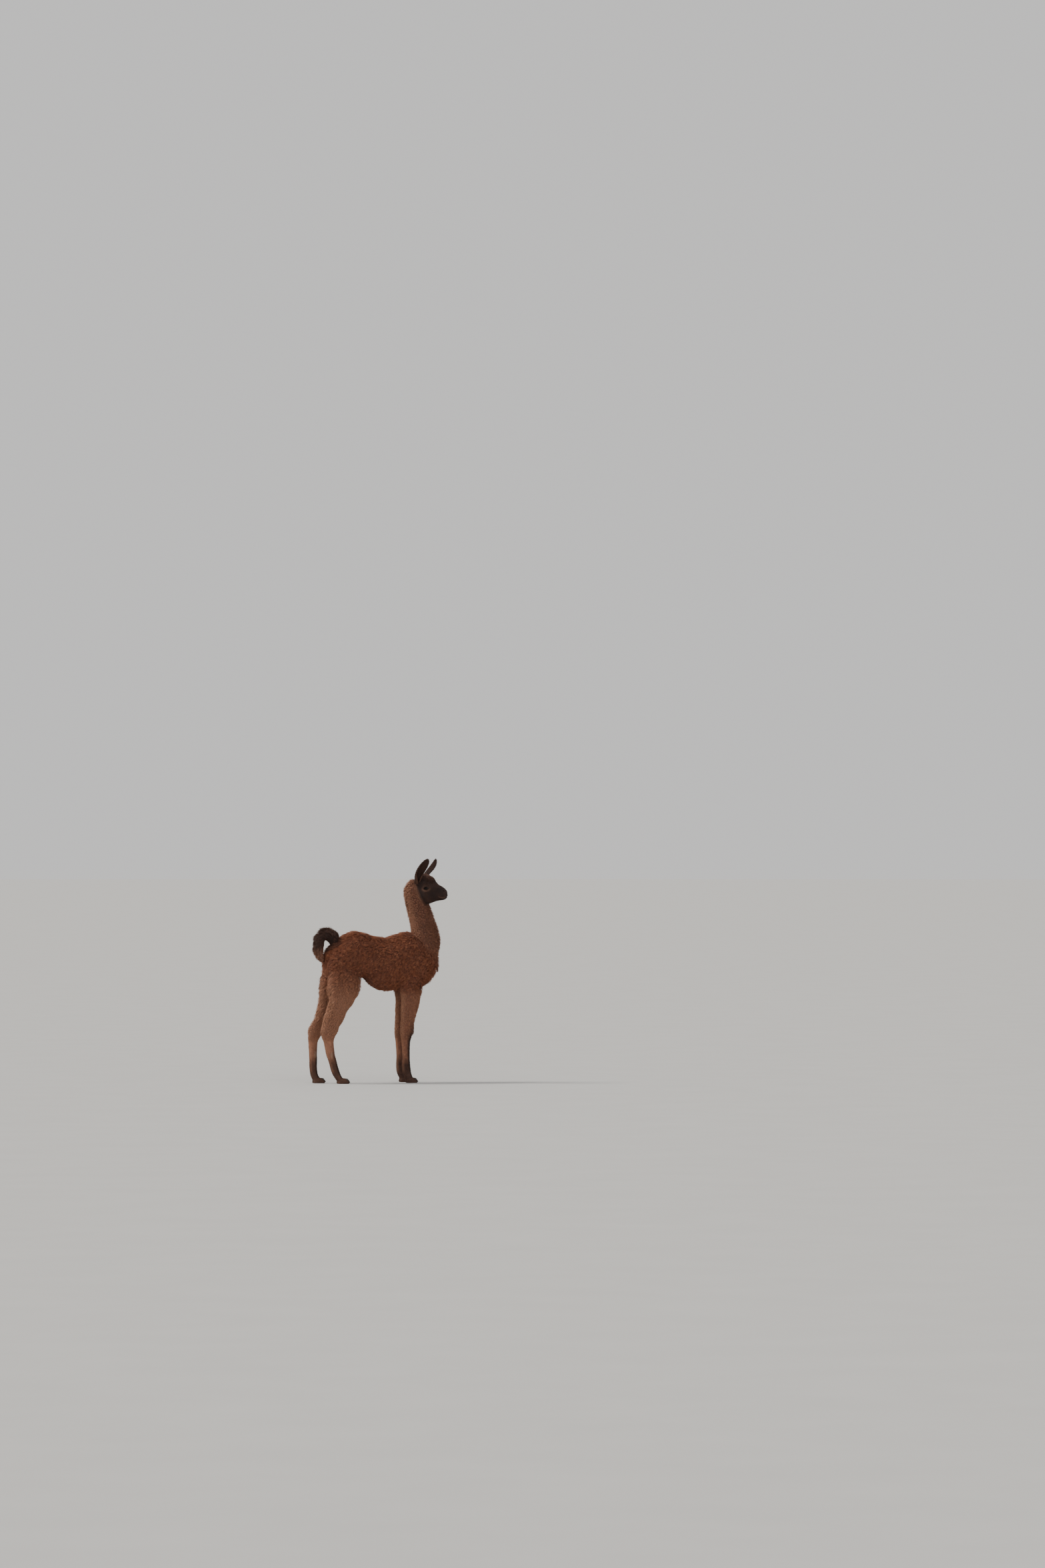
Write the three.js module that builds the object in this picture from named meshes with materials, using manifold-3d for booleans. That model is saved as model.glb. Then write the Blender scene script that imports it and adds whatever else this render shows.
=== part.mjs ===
// A young llama standing, life size, as a still museum model.
// It faces +X with its head turned to its right, and stands on z = 0. Sizes are in millimetres.

import * as THREE from 'three';
import { mergeVertices } from 'three/addons/utils/BufferGeometryUtils.js';
import Module from 'manifold-3d';

const wasm = await Module();
wasm.setup();

// Driving dimensions
const GAP = 0.3;
const FORE_SPREAD = 55;
const HIND_SPREAD = 58;
const HEAD_PIVOT = new THREE.Vector3(237, 0, 1010);
const HEAD_TURN = THREE.MathUtils.degToRad(-40);
const EYE_RADIUS = 15;
const EYE_PLACE = new THREE.Vector3(74, 33, 10);
const EYE_OPENING = [27, 16];
const EAR_THICKNESS = 4;
const EAR_TURN = THREE.MathUtils.degToRad(45);
const KNEE_CUT = 246;
const ELBOW_CUT = 470;
const STIFLE_CUT = 438;
const HOCK_CUT = 258;
const FETLOCK_CUT = 56;
const THIGH_TILT = 0.2;
const NAPE_TILT = -0.17;
const NECK_TILT = Math.PI / 4;
const FORE_SOLE_LENGTH = 54;
const HIND_SOLE_LENGTH = 58;
const TOE_WIDTH = 24;
const NAIL_LENGTH = 19;

// Sizes of the coat: how far it stands off the firm form under it, and its locks and clumps
const BODY_COAT = 10;
const NECK_COAT = 8;
const LEG_COAT = 9;
const CROWN_COAT = 5;
const TAIL_CORE = 0.6;
const BODY_LOCK = { length: 132, width: 122, depth: 12, sunk: 6, inset: BODY_COAT };
const THIGH_LOCK = { length: 100, width: 74, depth: 11, sunk: 6, inset: 0 };
const FRINGE_LOCK = { length: 66, width: 32, depth: 9, sunk: 6, inset: 0 };
const TAIL_LOCK = { length: 84, width: 48, sunk: 4, inset: 1 - TAIL_CORE };
const NECK_CLUMP = 38;
const CROWN_CLUMP = 17;

// Colours
const BODY_BROWN = 0x6b4231;
const NECK_BROWN = 0x6a4c3f;
const FACE_BLACK = 0x2a2122;
const TAIL_DARK = 0x3a2c2c;
const LEG_BROWN = 0x765040;
const SHIN_DARK = 0x3b2b2c;
const NAIL_GREY = 0x38332f;
const EYE_DARK = 0x120c0a;

// Side view stations of the trunk, rear to front: x, bottom, top, half width
const TORSO = [
  [-264, 622, 664, 30],
  [-256, 585, 684, 62],
  [-232, 556, 712, 84],
  [-196, 545, 743, 94],
  [-160, 548, 776, 97],
  [-104, 554, 796, 98],
  [-42, 545, 784, 99],
  [-8, 512, 773, 103],
  [36, 487, 767, 107],
  [76, 479, 765, 109],
  [115, 483, 776, 108],
  [177, 484, 792, 102],
  [221, 492, 786, 97],
  [263, 504, 768, 90],
  [302, 539, 746, 77],
  [326, 578, 728, 62],
  [341, 612, 706, 42],
  [347, 632, 688, 22],
];

// Stations of the neck, base to top: z, rear, front, half width
const NECK = [
  [650, 215, 330, 52],
  [690, 208, 348, 64],
  [720, 206, 360, 66],
  [749, 208, 363, 62],
  [786, 211, 356, 57],
  [819, 208, 346, 54],
  [854, 200, 332, 51],
  [882, 194, 325, 50],
  [906, 188, 314, 50],
  [940, 180, 308, 50],
  [975, 173, 290, 50],
  [1008, 171, 272, 47],
  [1033, 181, 262, 41],
  [1052, 198, 252, 29],
  [1062, 214, 240, 14],
];

// Stations of the head along its own length, nape to lips: x, bottom, top, half width
const HEAD = [
  [-16, -22, 34, 22],
  [-4, -46, 54, 36],
  [22, -64, 76, 43],
  [50, -73, 87, 47],
  [71, -72, 79, 46],
  [90, -67, 68, 41],
  [104, -62, 55, 36],
  [120, -57, 35, 30],
  [137, -54, 25, 27],
  [153, -52, 16, 26],
  [164, -48, 7, 24],
  [171, -41, -3, 19],
  [174, -32, -16, 9],
];

// Stations of a front leg, top to sole: z, rear, front, half width, offset from the spread
const FORELEG = [
  [610, 150, 236, 24, 6],
  [560, 138, 248, 32, 4],
  [486, 137, 246, 36, 0],
  [432, 139, 239, 33, 0],
  [396, 137, 231, 30, 0],
  [360, 137, 219, 28, 0],
  [313, 135, 208, 26, 0],
  [270, 134, 206, 27, 0],
  [245, 134, 195, 25, 0],
  [205, 137, 187, 21, 0],
  [140, 143, 184, 19, 0],
  [90, 141, 187, 20, 0],
  [56, 144, 191, 22, 0],
  [34, 152, 198, 23, 0],
  [14, 163, 202, 22, 0],
];

// Stations of the two hind legs, which are set one ahead of the other
const HINDLEG = {
  right: [
    [650, -214, -120, 30, -14],
    [600, -236, -88, 42, -10],
    [556, -240, -80, 46, -8],
    [480, -250, -87, 44, -8],
    [448, -249, -105, 41, -7],
    [416, -254, -126, 37, -5],
    [380, -264, -156, 32, -3],
    [332, -283, -179, 28, 0],
    [304, -294, -198, 26, 0],
    [278, -302, -207, 26, 0],
    [250, -299, -222, 24, 0],
    [217, -288, -229, 21, 0],
    [157, -274, -225, 19, 0],
    [122, -261, -216, 20, 0],
    [85, -250, -207, 22, 0],
    [50, -238, -194, 23, 0],
    [28, -224, -182, 23, 0],
    [12, -212, -172, 22, 0],
  ],
  left: [
    [650, -222, -130, 30, -14],
    [600, -248, -100, 42, -10],
    [556, -258, -92, 46, -8],
    [480, -271, -110, 44, -8],
    [442, -277, -128, 41, -7],
    [404, -282, -152, 37, -5],
    [366, -290, -184, 32, -3],
    [332, -304, -210, 28, 0],
    [304, -326, -229, 26, 0],
    [278, -338, -244, 26, 0],
    [250, -340, -266, 24, 0],
    [217, -339, -283, 21, 0],
    [157, -334, -289, 19, 0],
    [122, -332, -289, 20, 0],
    [85, -331, -290, 22, 0],
    [50, -327, -286, 23, 0],
    [28, -320, -276, 23, 0],
    [12, -312, -268, 22, 0],
  ],
};

// Centreline of the tail in side view, root to tip: x, z, radius in the plane, radius across
const TAIL = [
  [-172, 706, 26, 24],
  [-196, 727, 34, 30],
  [-217, 751, 36, 33],
  [-240, 768, 36, 34],
  [-262, 771, 34, 34],
  [-280, 757, 31, 32],
  [-288, 731, 27, 30],
  [-291, 706, 25, 26],
  [-287, 681, 20, 20],
  [-278, 658, 10, 10],
  [-274, 650, 3, 3],
];

// Centreline of an ear in the head's frame: x, y, z, half width, half depth, half angle of the opening
const EAR = [
  [20, 31, 36, 15, 12, 8],
  [25, 38, 52, 18, 12, 22],
  [33, 47, 76, 21, 11, 50],
  [45, 56, 96, 22, 10, 62],
  [59, 62, 114, 22, 9.5, 70],
  [72, 63, 131, 20, 9, 75],
  [82, 60, 146, 16, 8, 80],
  [88, 55, 156, 10, 6.5, 82],
  [90, 52, 160, 5, 5.5, 84],
];

// Rings cut for each station of the skull, which needs finer steps than the other forms
const SKULL_STEPS = 1.5;

// Places and half sizes in the head's frame, for its left side
const ORBIT = { place: new THREE.Vector3(73, 37.5, 9), size: [25, 11, 19], turn: -0.22 };
const UPPER_LIP = { place: new THREE.Vector3(150, 15.5, -27), size: [24, 11.5, 11] };
const LOWER_LIP = { place: new THREE.Vector3(150, 9, -43), size: [19, 12, 9] };
const NOSTRIL = { place: new THREE.Vector3(164, 18, -4), size: [9, 6, 3.2] };
const CLEFT = { from: 170, width: 1.6, bottom: -34, top: -8 };

// The line of the mouth in the head's side view, corner to front
const MOUTH_LINE = [[129, -22], [137, -30], [149, -37], [161, -38], [170, -33], [180, -28]];
const MOUTH_SLIT = 1.8;
const MOUTH_MIDDLE = new THREE.Vector3(120, 0, -30);
const MOUTH_CORE = [48, 21, 40];

function signedPower(value, power) {
  return Math.sign(value) * Math.abs(value) ** power;
}

// Values at any place between the stations, by a smooth curve through them
function curveThrough(stations) {
  const places = stations.map((_, index) => index);
  const curve = new THREE.CubicInterpolant(places, stations.flat(), stations[0].length);
  return (place) => Array.from(curve.evaluate(place));
}

function sample(stations, steps) {
  const at = curveThrough(stations);
  const count = (stations.length - 1) * steps;
  return Array.from({ length: count + 1 }, (_, index) => at(index / steps));
}

// Closed surface through rings of equal length, with a lid at each end, or a point at the far end
function skinRings(rings, lid, tip) {
  const sides = rings[0].length;
  const points = rings.flat();
  const faces = [];
  for (let ring = 0; ring + 1 < rings.length; ring += 1) {
    for (let side = 0; side < sides; side += 1) {
      const next = (side + 1) % sides;
      const [a, b] = [ring * sides + side, ring * sides + next];
      const [c, d] = [a + sides, b + sides];
      faces.push(a, b, d, a, d, c);
    }
  }
  lid(points, faces, rings[0], 0, true);
  lid(points, faces, rings.at(-1), (rings.length - 1) * sides, false, tip);
  const geometry = new THREE.BufferGeometry();
  geometry.setAttribute('position', new THREE.Float32BufferAttribute(points.flatMap((p) => p.toArray()), 3));
  geometry.setIndex(faces);
  return toSolid(geometry);
}

// A lid that meets in the middle of a round ring, or at a point beyond it
function fanLid(points, faces, ring, start, first, tip) {
  points.push(tip ?? ring.reduce((sum, p) => sum.add(p), new THREE.Vector3()).divideScalar(ring.length));
  for (let side = 0; side < ring.length; side += 1) {
    const edge = [start + side, start + ((side + 1) % ring.length)];
    faces.push(points.length - 1, ...(first ? edge.reverse() : edge));
  }
}

// A lid across a ring that runs out along one arc and back along another
function foldedLid(points, faces, ring, start, first) {
  const last = ring.length - 1;
  for (let side = 0; side < ring.length / 2 - 1; side += 1) {
    const quad = [start + side, start + side + 1, start + last - side - 1, start + last - side];
    const turned = first ? quad.reverse() : quad;
    faces.push(turned[0], turned[1], turned[2], turned[0], turned[2], turned[3]);
  }
}

// A closed mesh as a solid, with its faces out
function toSolid(source) {
  const geometry = source.clone();
  geometry.deleteAttribute('normal');
  geometry.deleteAttribute('uv');
  const merged = mergeVertices(geometry, 1e-4);
  const vertProperties = new Float32Array(merged.attributes.position.array);
  const triVerts = Uint32Array.from(merged.index.array);
  const [a, b, c] = [new THREE.Vector3(), new THREE.Vector3(), new THREE.Vector3()];
  let volume = 0;
  for (let corner = 0; corner < triVerts.length; corner += 3) {
    a.fromArray(vertProperties, 3 * triVerts[corner]);
    b.fromArray(vertProperties, 3 * triVerts[corner + 1]);
    c.fromArray(vertProperties, 3 * triVerts[corner + 2]);
    volume += a.dot(b.cross(c));
  }
  if (volume < 0) {
    for (let corner = 0; corner < triVerts.length; corner += 3) {
      [triVerts[corner], triVerts[corner + 1]] = [triVerts[corner + 1], triVerts[corner]];
    }
  }
  return new wasm.Manifold(new wasm.Mesh({ numProp: 3, vertProperties, triVerts }));
}

function unite(solids) {
  return solids.reduce((whole, solid) => whole.add(solid));
}

// The same solid a gap larger on every side
function swell(solid) {
  const moves = [[GAP, 0, 0], [-GAP, 0, 0], [0, GAP, 0], [0, -GAP, 0], [0, 0, GAP], [0, 0, -GAP]];
  return unite([solid, ...moves.map((move) => solid.translate(move))]);
}

// A box between two corners, in a frame of its own where asked, and larger all round by grow
function block(low, high, place = new THREE.Matrix4(), grow = 0) {
  const size = high.map((value, axis) => value - low[axis]);
  const geometry = new THREE.BoxGeometry(...size.map((length) => length + 2 * grow));
  geometry.translate(...low.map((value, axis) => value + size[axis] / 2));
  return toSolid(geometry.applyMatrix4(place));
}

function ball(radii, place, around = 12) {
  const geometry = new THREE.SphereGeometry(1, around, Math.round(0.6 * around));
  geometry.scale(...radii);
  return toSolid(geometry.applyMatrix4(place));
}

// An outline in the side view, pulled sideways to both hands
function sideShape(outline, halfWidth) {
  const shape = new THREE.Shape(outline.map(([x, z]) => new THREE.Vector2(x, z)));
  const geometry = new THREE.ExtrudeGeometry(shape, { depth: 2 * halfWidth, bevelEnabled: false });
  geometry.translate(0, 0, -halfWidth);
  geometry.rotateX(Math.PI / 2);
  return geometry;
}

// A ring of points round a section with its own half sizes, rounder or squarer by the power
function ringPoints(sides, power, put) {
  return Array.from({ length: sides }, (_, side) => {
    const angle = (2 * Math.PI * side) / sides;
    return put(signedPower(Math.cos(angle), power), signedPower(Math.sin(angle), power));
  });
}

// A form is a surface round a row of stations. Its point function takes a place among the
// stations, a sine and cosine round the section, and how far the surface is taken in there.
function makeForm(stations, power, point) {
  const at = curveThrough(stations);
  const last = stations.length - 1;
  const place = (index) => at(THREE.MathUtils.clamp(index, 0, last));
  return { stations, power, last, point: (index, c, s, inset) => point(place(index), c, s, inset, index) };
}

function skinForm(form, sides, inset, steps = 1) {
  const rings = Array.from({ length: form.last * steps + 1 }, (_, ring) => (
    ringPoints(sides, form.power, (c, s) => form.point(ring / steps, c, s, inset))
  ));
  return skinRings(rings, fanLid);
}

// A place on a form, with the way out of it
function spotOn(form, index, angle, inset) {
  const here = (i, a) => {
    const [c, s] = [Math.cos(a), Math.sin(a)].map((value) => signedPower(value, form.power));
    return form.point(i, c, s, inset);
  };
  const root = here(index, angle);
  const along = here(index + 0.05, angle).sub(here(index - 0.05, angle));
  const around = here(index, angle + 0.02).sub(here(index, angle - 0.02));
  const out = new THREE.Vector3().crossVectors(around, along).normalize();
  if (out.dot(root.clone().sub(form.point(index, 0, 0, inset))) < 0) {
    out.negate();
  }
  return { root, out, pace: [along.length() / 0.1, around.length() / 0.04] };
}

const trunk = makeForm(TORSO, 0.86, ([x, bottom, top, half], c, s, inset) => {
  const along = THREE.MathUtils.clamp(x, TORSO[0][0] + inset, TORSO.at(-1)[0] - inset);
  const rise = (top - bottom) / 2 - inset;
  return new THREE.Vector3(along, (half - inset) * c, (bottom + top) / 2 + rise * s);
});

// An upright form, such as the neck or a leg, on its own side of the body
function uprightForm(stations, power, spread = 0, side = 1) {
  return makeForm(stations, power, ([z, rear, front, half, offset = 0], c, s, inset) => {
    const reach = (front - rear) / 2 - inset;
    const y = side * (spread + offset);
    return new THREE.Vector3((rear + front) / 2 + reach * c, y + side * (half - inset) * s, z);
  });
}

const throat = uprightForm(NECK, 0.92);
const foreleg = (side) => uprightForm(FORELEG, 0.9, FORE_SPREAD, side);

// The coat of a thigh is made as locks, and runs out towards the hock
function hindleg(hand, side) {
  const { stations, power, last, point } = uprightForm(HINDLEG[hand], 0.9, HIND_SPREAD, side);
  const inset = (index) => LEG_COAT * (1 - THREE.MathUtils.smoothstep(index, 3, 5.5));
  return { stations, power, last, point: (index, c, s, taken) => point(index, c, s, taken + inset(index)) };
}

// Two toes under the end of a leg, with flat soles
function toes(heel, length, spread, side) {
  const pads = [-1, 1].map((hand) => {
    const middle = side * spread + (hand * TOE_WIDTH) / 2;
    const place = new THREE.Matrix4().makeTranslation(heel + length / 2, middle, 9);
    return ball([length / 2, TOE_WIDTH / 2 + 0.5, 22], place, 8);
  });
  return unite(pads).intersect(block([heel - 20, -400, 0], [heel + length + 20, 400, 60]));
}

// A nail that hooks down over the front of a toe, larger all round by grow
function nail(toeTip, y, grow = 0) {
  const rings = [0, 1, 2, 3].map((step) => {
    const along = step / 3;
    const size = 1 - 0.72 * along ** 1.4;
    const x = toeTip - 9 + NAIL_LENGTH * along + grow * (2 * along - 1);
    const z = 21 - 15 * along ** 1.5;
    const [wide, tall] = [7 * size + grow, 6.5 * size + grow];
    return ringPoints(6, 0.9, (c, s) => new THREE.Vector3(x + 3 * size * s, y + wide * c, z + tall * s));
  });
  return skinRings(rings, fanLid).intersect(block([toeTip - 60, -400, 0.4], [toeTip + 60, 400, 60]));
}

// The tail, drawn round its arched centreline
const tailLine = curveThrough(TAIL);
const brush = makeForm(TAIL, 0.95, ([x, z, inPlane, across], c, s, inset, index) => {
  const before = tailLine(Math.max(index - 0.2, 0));
  const after = tailLine(Math.min(index + 0.2, TAIL.length - 1));
  const along = new THREE.Vector3(after[0] - before[0], 0, after[1] - before[1]).normalize();
  const up = new THREE.Vector3(along.z, 0, -along.x);
  const core = 1 - inset;
  return new THREE.Vector3(x, core * across * c, z).addScaledVector(up, core * inPlane * s);
});

// From the head's own frame to the body's
const headPlace = new THREE.Matrix4().makeRotationZ(HEAD_TURN).setPosition(HEAD_PIVOT);

function atHead(side, place, turn = new THREE.Euler()) {
  const local = new THREE.Matrix4().makeRotationFromEuler(turn);
  local.setPosition(place.x, side * place.y, place.z);
  return new THREE.Matrix4().multiplyMatrices(headPlace, local);
}

// The head, with the wool of the crown taken in where it is made as clumps
const skull = makeForm(HEAD, 0.88, ([x, bottom, top, half], c, s, inset) => {
  const middle = bottom + 0.52 * (top - bottom);
  const onCrown = THREE.MathUtils.smoothstep(x, 10, 30) * (1 - THREE.MathUtils.smoothstep(x, 100, 116));
  const rise = s > 0 ? top - middle - inset - CROWN_COAT * onCrown : middle - bottom - inset;
  return new THREE.Vector3(x, (half - inset) * c, middle + rise * s).applyMatrix4(headPlace);
});

// A thin curved cut round the muzzle, as deep as the lips
function mouthCut() {
  const line = new THREE.SplineCurve(MOUTH_LINE.map(([x, z]) => new THREE.Vector2(x, z))).getPoints(7);
  const upper = line.map((p) => [p.x, p.y + MOUTH_SLIT / 2]);
  const lower = line.map((p) => [p.x, p.y - MOUTH_SLIT / 2]).reverse();
  const slit = toSolid(sideShape([...upper, ...lower], 60).applyMatrix4(headPlace));
  return slit.subtract(ball(MOUTH_CORE, atHead(1, MOUTH_MIDDLE)));
}

// The opening between the lids, pointed at both corners
function lidOpening(side) {
  const [length, height] = EYE_OPENING;
  const shape = new THREE.Shape();
  shape.moveTo(-length / 2, -1.5);
  shape.quadraticCurveTo(0, height + 1, length / 2, 0.5);
  shape.quadraticCurveTo(0, -height + 1, -length / 2, -1.5);
  const geometry = new THREE.ExtrudeGeometry(shape, { depth: 40, bevelEnabled: false, curveSegments: 6 });
  geometry.rotateX(Math.PI / 2);
  geometry.scale(1, -side, 1);
  return toSolid(geometry.applyMatrix4(atHead(side, EYE_PLACE)));
}

// The head, with the rise round each eye, the lids, the lips, the nostrils and the mouth
function head() {
  let form = skinForm(skull, 18, 0, SKULL_STEPS);
  for (const side of [-1, 1]) {
    const orbitTurn = new THREE.Euler(0, 0, side * ORBIT.turn);
    form = form.add(ball(ORBIT.size, atHead(side, ORBIT.place, orbitTurn), 14));
    form = form.add(ball(UPPER_LIP.size, atHead(side, UPPER_LIP.place, new THREE.Euler(0, 0.2, 0)), 8));
    form = form.add(ball(LOWER_LIP.size, atHead(side, LOWER_LIP.place), 8));
  }
  for (const side of [-1, 1]) {
    form = form.subtract(ball(Array(3).fill(EYE_RADIUS + GAP), atHead(side, EYE_PLACE)));
    form = form.subtract(lidOpening(side));
    const nostrilTurn = new THREE.Euler(0, 0.5, side * 0.45);
    form = form.subtract(ball(NOSTRIL.size, atHead(side, NOSTRIL.place, nostrilTurn), 8));
  }
  const half = CLEFT.width / 2;
  const cleft = block([CLEFT.from, -half, CLEFT.bottom], [200, half, CLEFT.top], headPlace);
  return form.subtract(mouthCut()).subtract(cleft);
}

// A long cupped ear that bows out and curves back in at its tip
function ear(side) {
  const stations = sample(EAR, 1);
  const rings = stations.map(([x, y, z, halfWidth, halfDepth, opening], index) => {
    const before = stations[Math.max(index - 1, 0)];
    const after = stations[Math.min(index + 1, stations.length - 1)];
    const [ahead, aside, upward] = after.map((value, axis) => value - before[axis]);
    const along = new THREE.Vector3(ahead, side * aside, upward).normalize();
    const facing = new THREE.Vector3(Math.cos(EAR_TURN), side * Math.sin(EAR_TURN), 0);
    facing.addScaledVector(along, -facing.dot(along)).normalize();
    const across = new THREE.Vector3().crossVectors(along, facing);
    const start = THREE.MathUtils.degToRad(opening);
    const arc = (angle, inset) => new THREE.Vector3(x, side * y, z)
      .addScaledVector(facing, (halfDepth - inset) * Math.cos(angle))
      .addScaledVector(across, (halfWidth - inset) * Math.sin(angle))
      .applyMatrix4(headPlace);
    const angles = Array.from({ length: 8 }, (_, step) => start + ((2 * Math.PI - 2 * start) * step) / 7);
    const outer = angles.map((angle) => arc(angle, 0));
    const inner = angles.reverse().map((angle) => arc(angle, EAR_THICKNESS));
    return [...outer, ...inner];
  });
  return skinRings(rings, foldedLid);
}

// Draws in a fixed order, so that the coat is the same each time
let seed = 20;
function draw(low, high) {
  seed = (seed * 16807) % 2147483647;
  return low + ((high - low) * seed) / 2147483647;
}

// A flat tapered lock that follows its form's surface: its edges stay sunk and its ridge stands up
function lock(form, index, angle, heading, { length, width, depth, sunk, inset }) {
  const { pace } = spotOn(form, index, angle, inset);
  const reach = length * draw(0.9, 1.1);
  const half = (width / 2) * draw(0.9, 1.1);
  const turn = heading + draw(-0.15, 0.15);
  const place = (along, across, rise) => {
    const there = index + (along * Math.cos(turn) - across * Math.sin(turn)) / pace[0];
    const around = angle + (along * Math.sin(turn) + across * Math.cos(turn)) / pace[1];
    const { root, out } = spotOn(form, there, around, inset);
    return root.addScaledVector(out, rise);
  };
  const sections = [[0, 0.7, -sunk, 0], [0.42, 1, -3, 0.85 * depth], [0.8, 0.6, 1.5, depth]];
  const rings = sections.map(([t, wide, edge, ridge]) => [
    place(reach * t, half * wide, edge),
    place(reach * t, 0, ridge),
    place(reach * t, -half * wide, edge),
  ]);
  return skinRings(rings, fanLid, place(reach, 0, 0.7 * depth));
}

// A rounded clump of curly wool, of which height stands off the surface
function clump(form, index, angle, inset, radius, height) {
  const { root, out } = spotOn(form, index, angle, inset);
  const size = radius * draw(0.88, 1.12);
  const geometry = new THREE.IcosahedronGeometry(1, 0);
  geometry.rotateZ(draw(0, 6));
  geometry.rotateX(draw(0, 6));
  geometry.scale(size, size, 0.55 * size);
  geometry.applyQuaternion(new THREE.Quaternion().setFromUnitVectors(new THREE.Vector3(0, 0, 1), out));
  geometry.translate(...root.addScaledVector(out, height - 0.5 * size).toArray());
  return toSolid(geometry);
}

// Places an even distance apart along a form, by the first column of its stations
function evenPlaces(form, from, to, step) {
  const columns = form.stations.map((row) => row[0]);
  const count = Math.floor((to - from) / step + 1);
  return Array.from({ length: count }, (_, order) => {
    const value = from + order * step;
    const next = columns.findIndex((column) => column >= value);
    return next - 1 + (value - columns[next - 1]) / (columns[next] - columns[next - 1]);
  });
}

// The wool of the trunk lies back and down from the spine, and hangs down the chest and rump
function torsoLocks() {
  const rows = 6;
  const endLock = { ...BODY_LOCK, length: 0.75 * BODY_LOCK.length, width: 0.7 * BODY_LOCK.width };
  const columns = evenPlaces(trunk, -234, 336, 93);
  return columns.flatMap((index, column) => Array.from({ length: rows }, (_, row) => {
    const angle = ((row + (column % 2) / 2 + draw(-0.12, 0.12)) * 2 * Math.PI) / rows;
    const nearEnd = index < 3 || index > 14;
    const heading = Math.atan2(-0.8 * Math.cos(angle), nearEnd ? -0.25 : -0.75);
    return lock(trunk, index, angle, heading, nearEnd ? endLock : BODY_LOCK);
  }));
}

// Rounded clumps all over the neck, left out where the head covers them
function neckClumps() {
  const toHead = headPlace.clone().invert();
  const count = 6;
  return evenPlaces(throat, 704, 1036, 46).flatMap((middle, column) => {
    const places = Array.from({ length: count }, (_, row) => ({
      index: middle + draw(-0.35, 0.35),
      angle: ((row + (column % 2) / 2 + draw(-0.1, 0.1)) * 2 * Math.PI) / count,
    }));
    return places.flatMap(({ index, angle }) => {
      const local = spotOn(throat, index, angle, NECK_COAT).root.applyMatrix4(toHead);
      const clearance = Math.max(16 - local.x, -76 - local.z);
      const radius = NECK_CLUMP * THREE.MathUtils.clamp(clearance / 24, 0.7, 1);
      return clearance > 0 ? clump(throat, index, angle, NECK_COAT, radius, NECK_COAT) : [];
    });
  });
}

function crownClumps() {
  return evenPlaces(skull, 20, 100, 20).flatMap((index, column) => {
    const turns = column % 2 ? [0.5] : [0.4, 0.6];
    return turns.map((turn) => clump(skull, index, turn * Math.PI, 0, CROWN_CLUMP, CROWN_COAT));
  });
}

// Locks over the outside and back of a thigh, and a fringe down the back of the leg
function hindLocks(hand, side) {
  const form = hindleg(hand, side);
  const thigh = [1, 2.6].flatMap((index) => [0.28, 0.6, 0.92].map((turn) => (
    lock(form, index, Math.PI * turn, 0, THIGH_LOCK)
  )));
  const fringe = [4.2, 5.7].map((index) => lock(form, index, Math.PI, 0, FRINGE_LOCK));
  return [...thigh, ...fringe];
}

// Short locks down the back of a forearm
function foreLocks(side) {
  const form = foreleg(side);
  return [2.6, 4.2].map((index) => lock(form, index, Math.PI, 0, { ...FRINGE_LOCK, depth: 4 }));
}

// Locks all round the tail, each following its arch
function tailLocks() {
  const rows = 4;
  return Array.from({ length: 5 }, (_, step) => 0.8 + 1.7 * step).flatMap((index, column) => {
    const size = (1 - TAIL_CORE) * tailLine(index)[2];
    const shape = { ...TAIL_LOCK, depth: size, width: TAIL_LOCK.width * (size / 13) };
    shape.length = TAIL_LOCK.length * (index > 5 ? 0.6 : 1);
    return Array.from({ length: rows }, (_, row) => {
      const angle = ((row + (column % 2) / 2) * 2 * Math.PI) / rows;
      return lock(brush, index, angle, 0, shape);
    });
  });
}

// Keeps the largest body of a solid
function largest(solid) {
  return solid.decompose().sort((a, b) => b.volume() - a.volume())[0];
}

function toMesh(name, solid, color, roughness = 0.9) {
  const { vertProperties, triVerts } = largest(solid).getMesh();
  const geometry = new THREE.BufferGeometry();
  geometry.setAttribute('position', new THREE.Float32BufferAttribute(vertProperties, 3));
  geometry.setIndex(Array.from(triVerts));
  geometry.computeVertexNormals();
  const mesh = new THREE.Mesh(geometry, new THREE.MeshStandardMaterial({ color, roughness, metalness: 0 }));
  mesh.name = name;
  return mesh;
}

const llama = new THREE.Group();
const put = (name, solid, color, roughness) => llama.add(toMesh(name, solid, color, roughness));

const SIDES = { left: 1, right: -1 };
const FORE_HEEL = { left: 158, right: 162 };
const HIND_HEEL = { left: -314, right: -214 };

const feet = [];
for (const [hand, side] of Object.entries(SIDES)) {
  const fore = { heel: FORE_HEEL[hand], length: FORE_SOLE_LENGTH, spread: FORE_SPREAD };
  const hind = { heel: HIND_HEEL[hand], length: HIND_SOLE_LENGTH, spread: HIND_SPREAD };
  feet.push({ name: `fore_${hand}`, side, ...fore });
  feet.push({ name: `hind_${hand}`, side, ...hind });
}

let body = unite([
  skinForm(trunk, 20, BODY_COAT),
  skinForm(throat, 14, NECK_COAT),
  head(),
  ...Object.values(SIDES).map((side) => skinForm(foreleg(side), 12, 0)),
  ...Object.entries(SIDES).map(([hand, side]) => skinForm(hindleg(hand, side), 12, 0)),
  ...feet.map((foot) => toes(foot.heel, foot.length, foot.spread, foot.side)),
  ...torsoLocks(),
  ...neckClumps(),
  ...crownClumps(),
  ...Object.entries(SIDES).flatMap(([hand, side]) => hindLocks(hand, side)),
  ...Object.values(SIDES).flatMap((side) => foreLocks(side)),
]);

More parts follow.
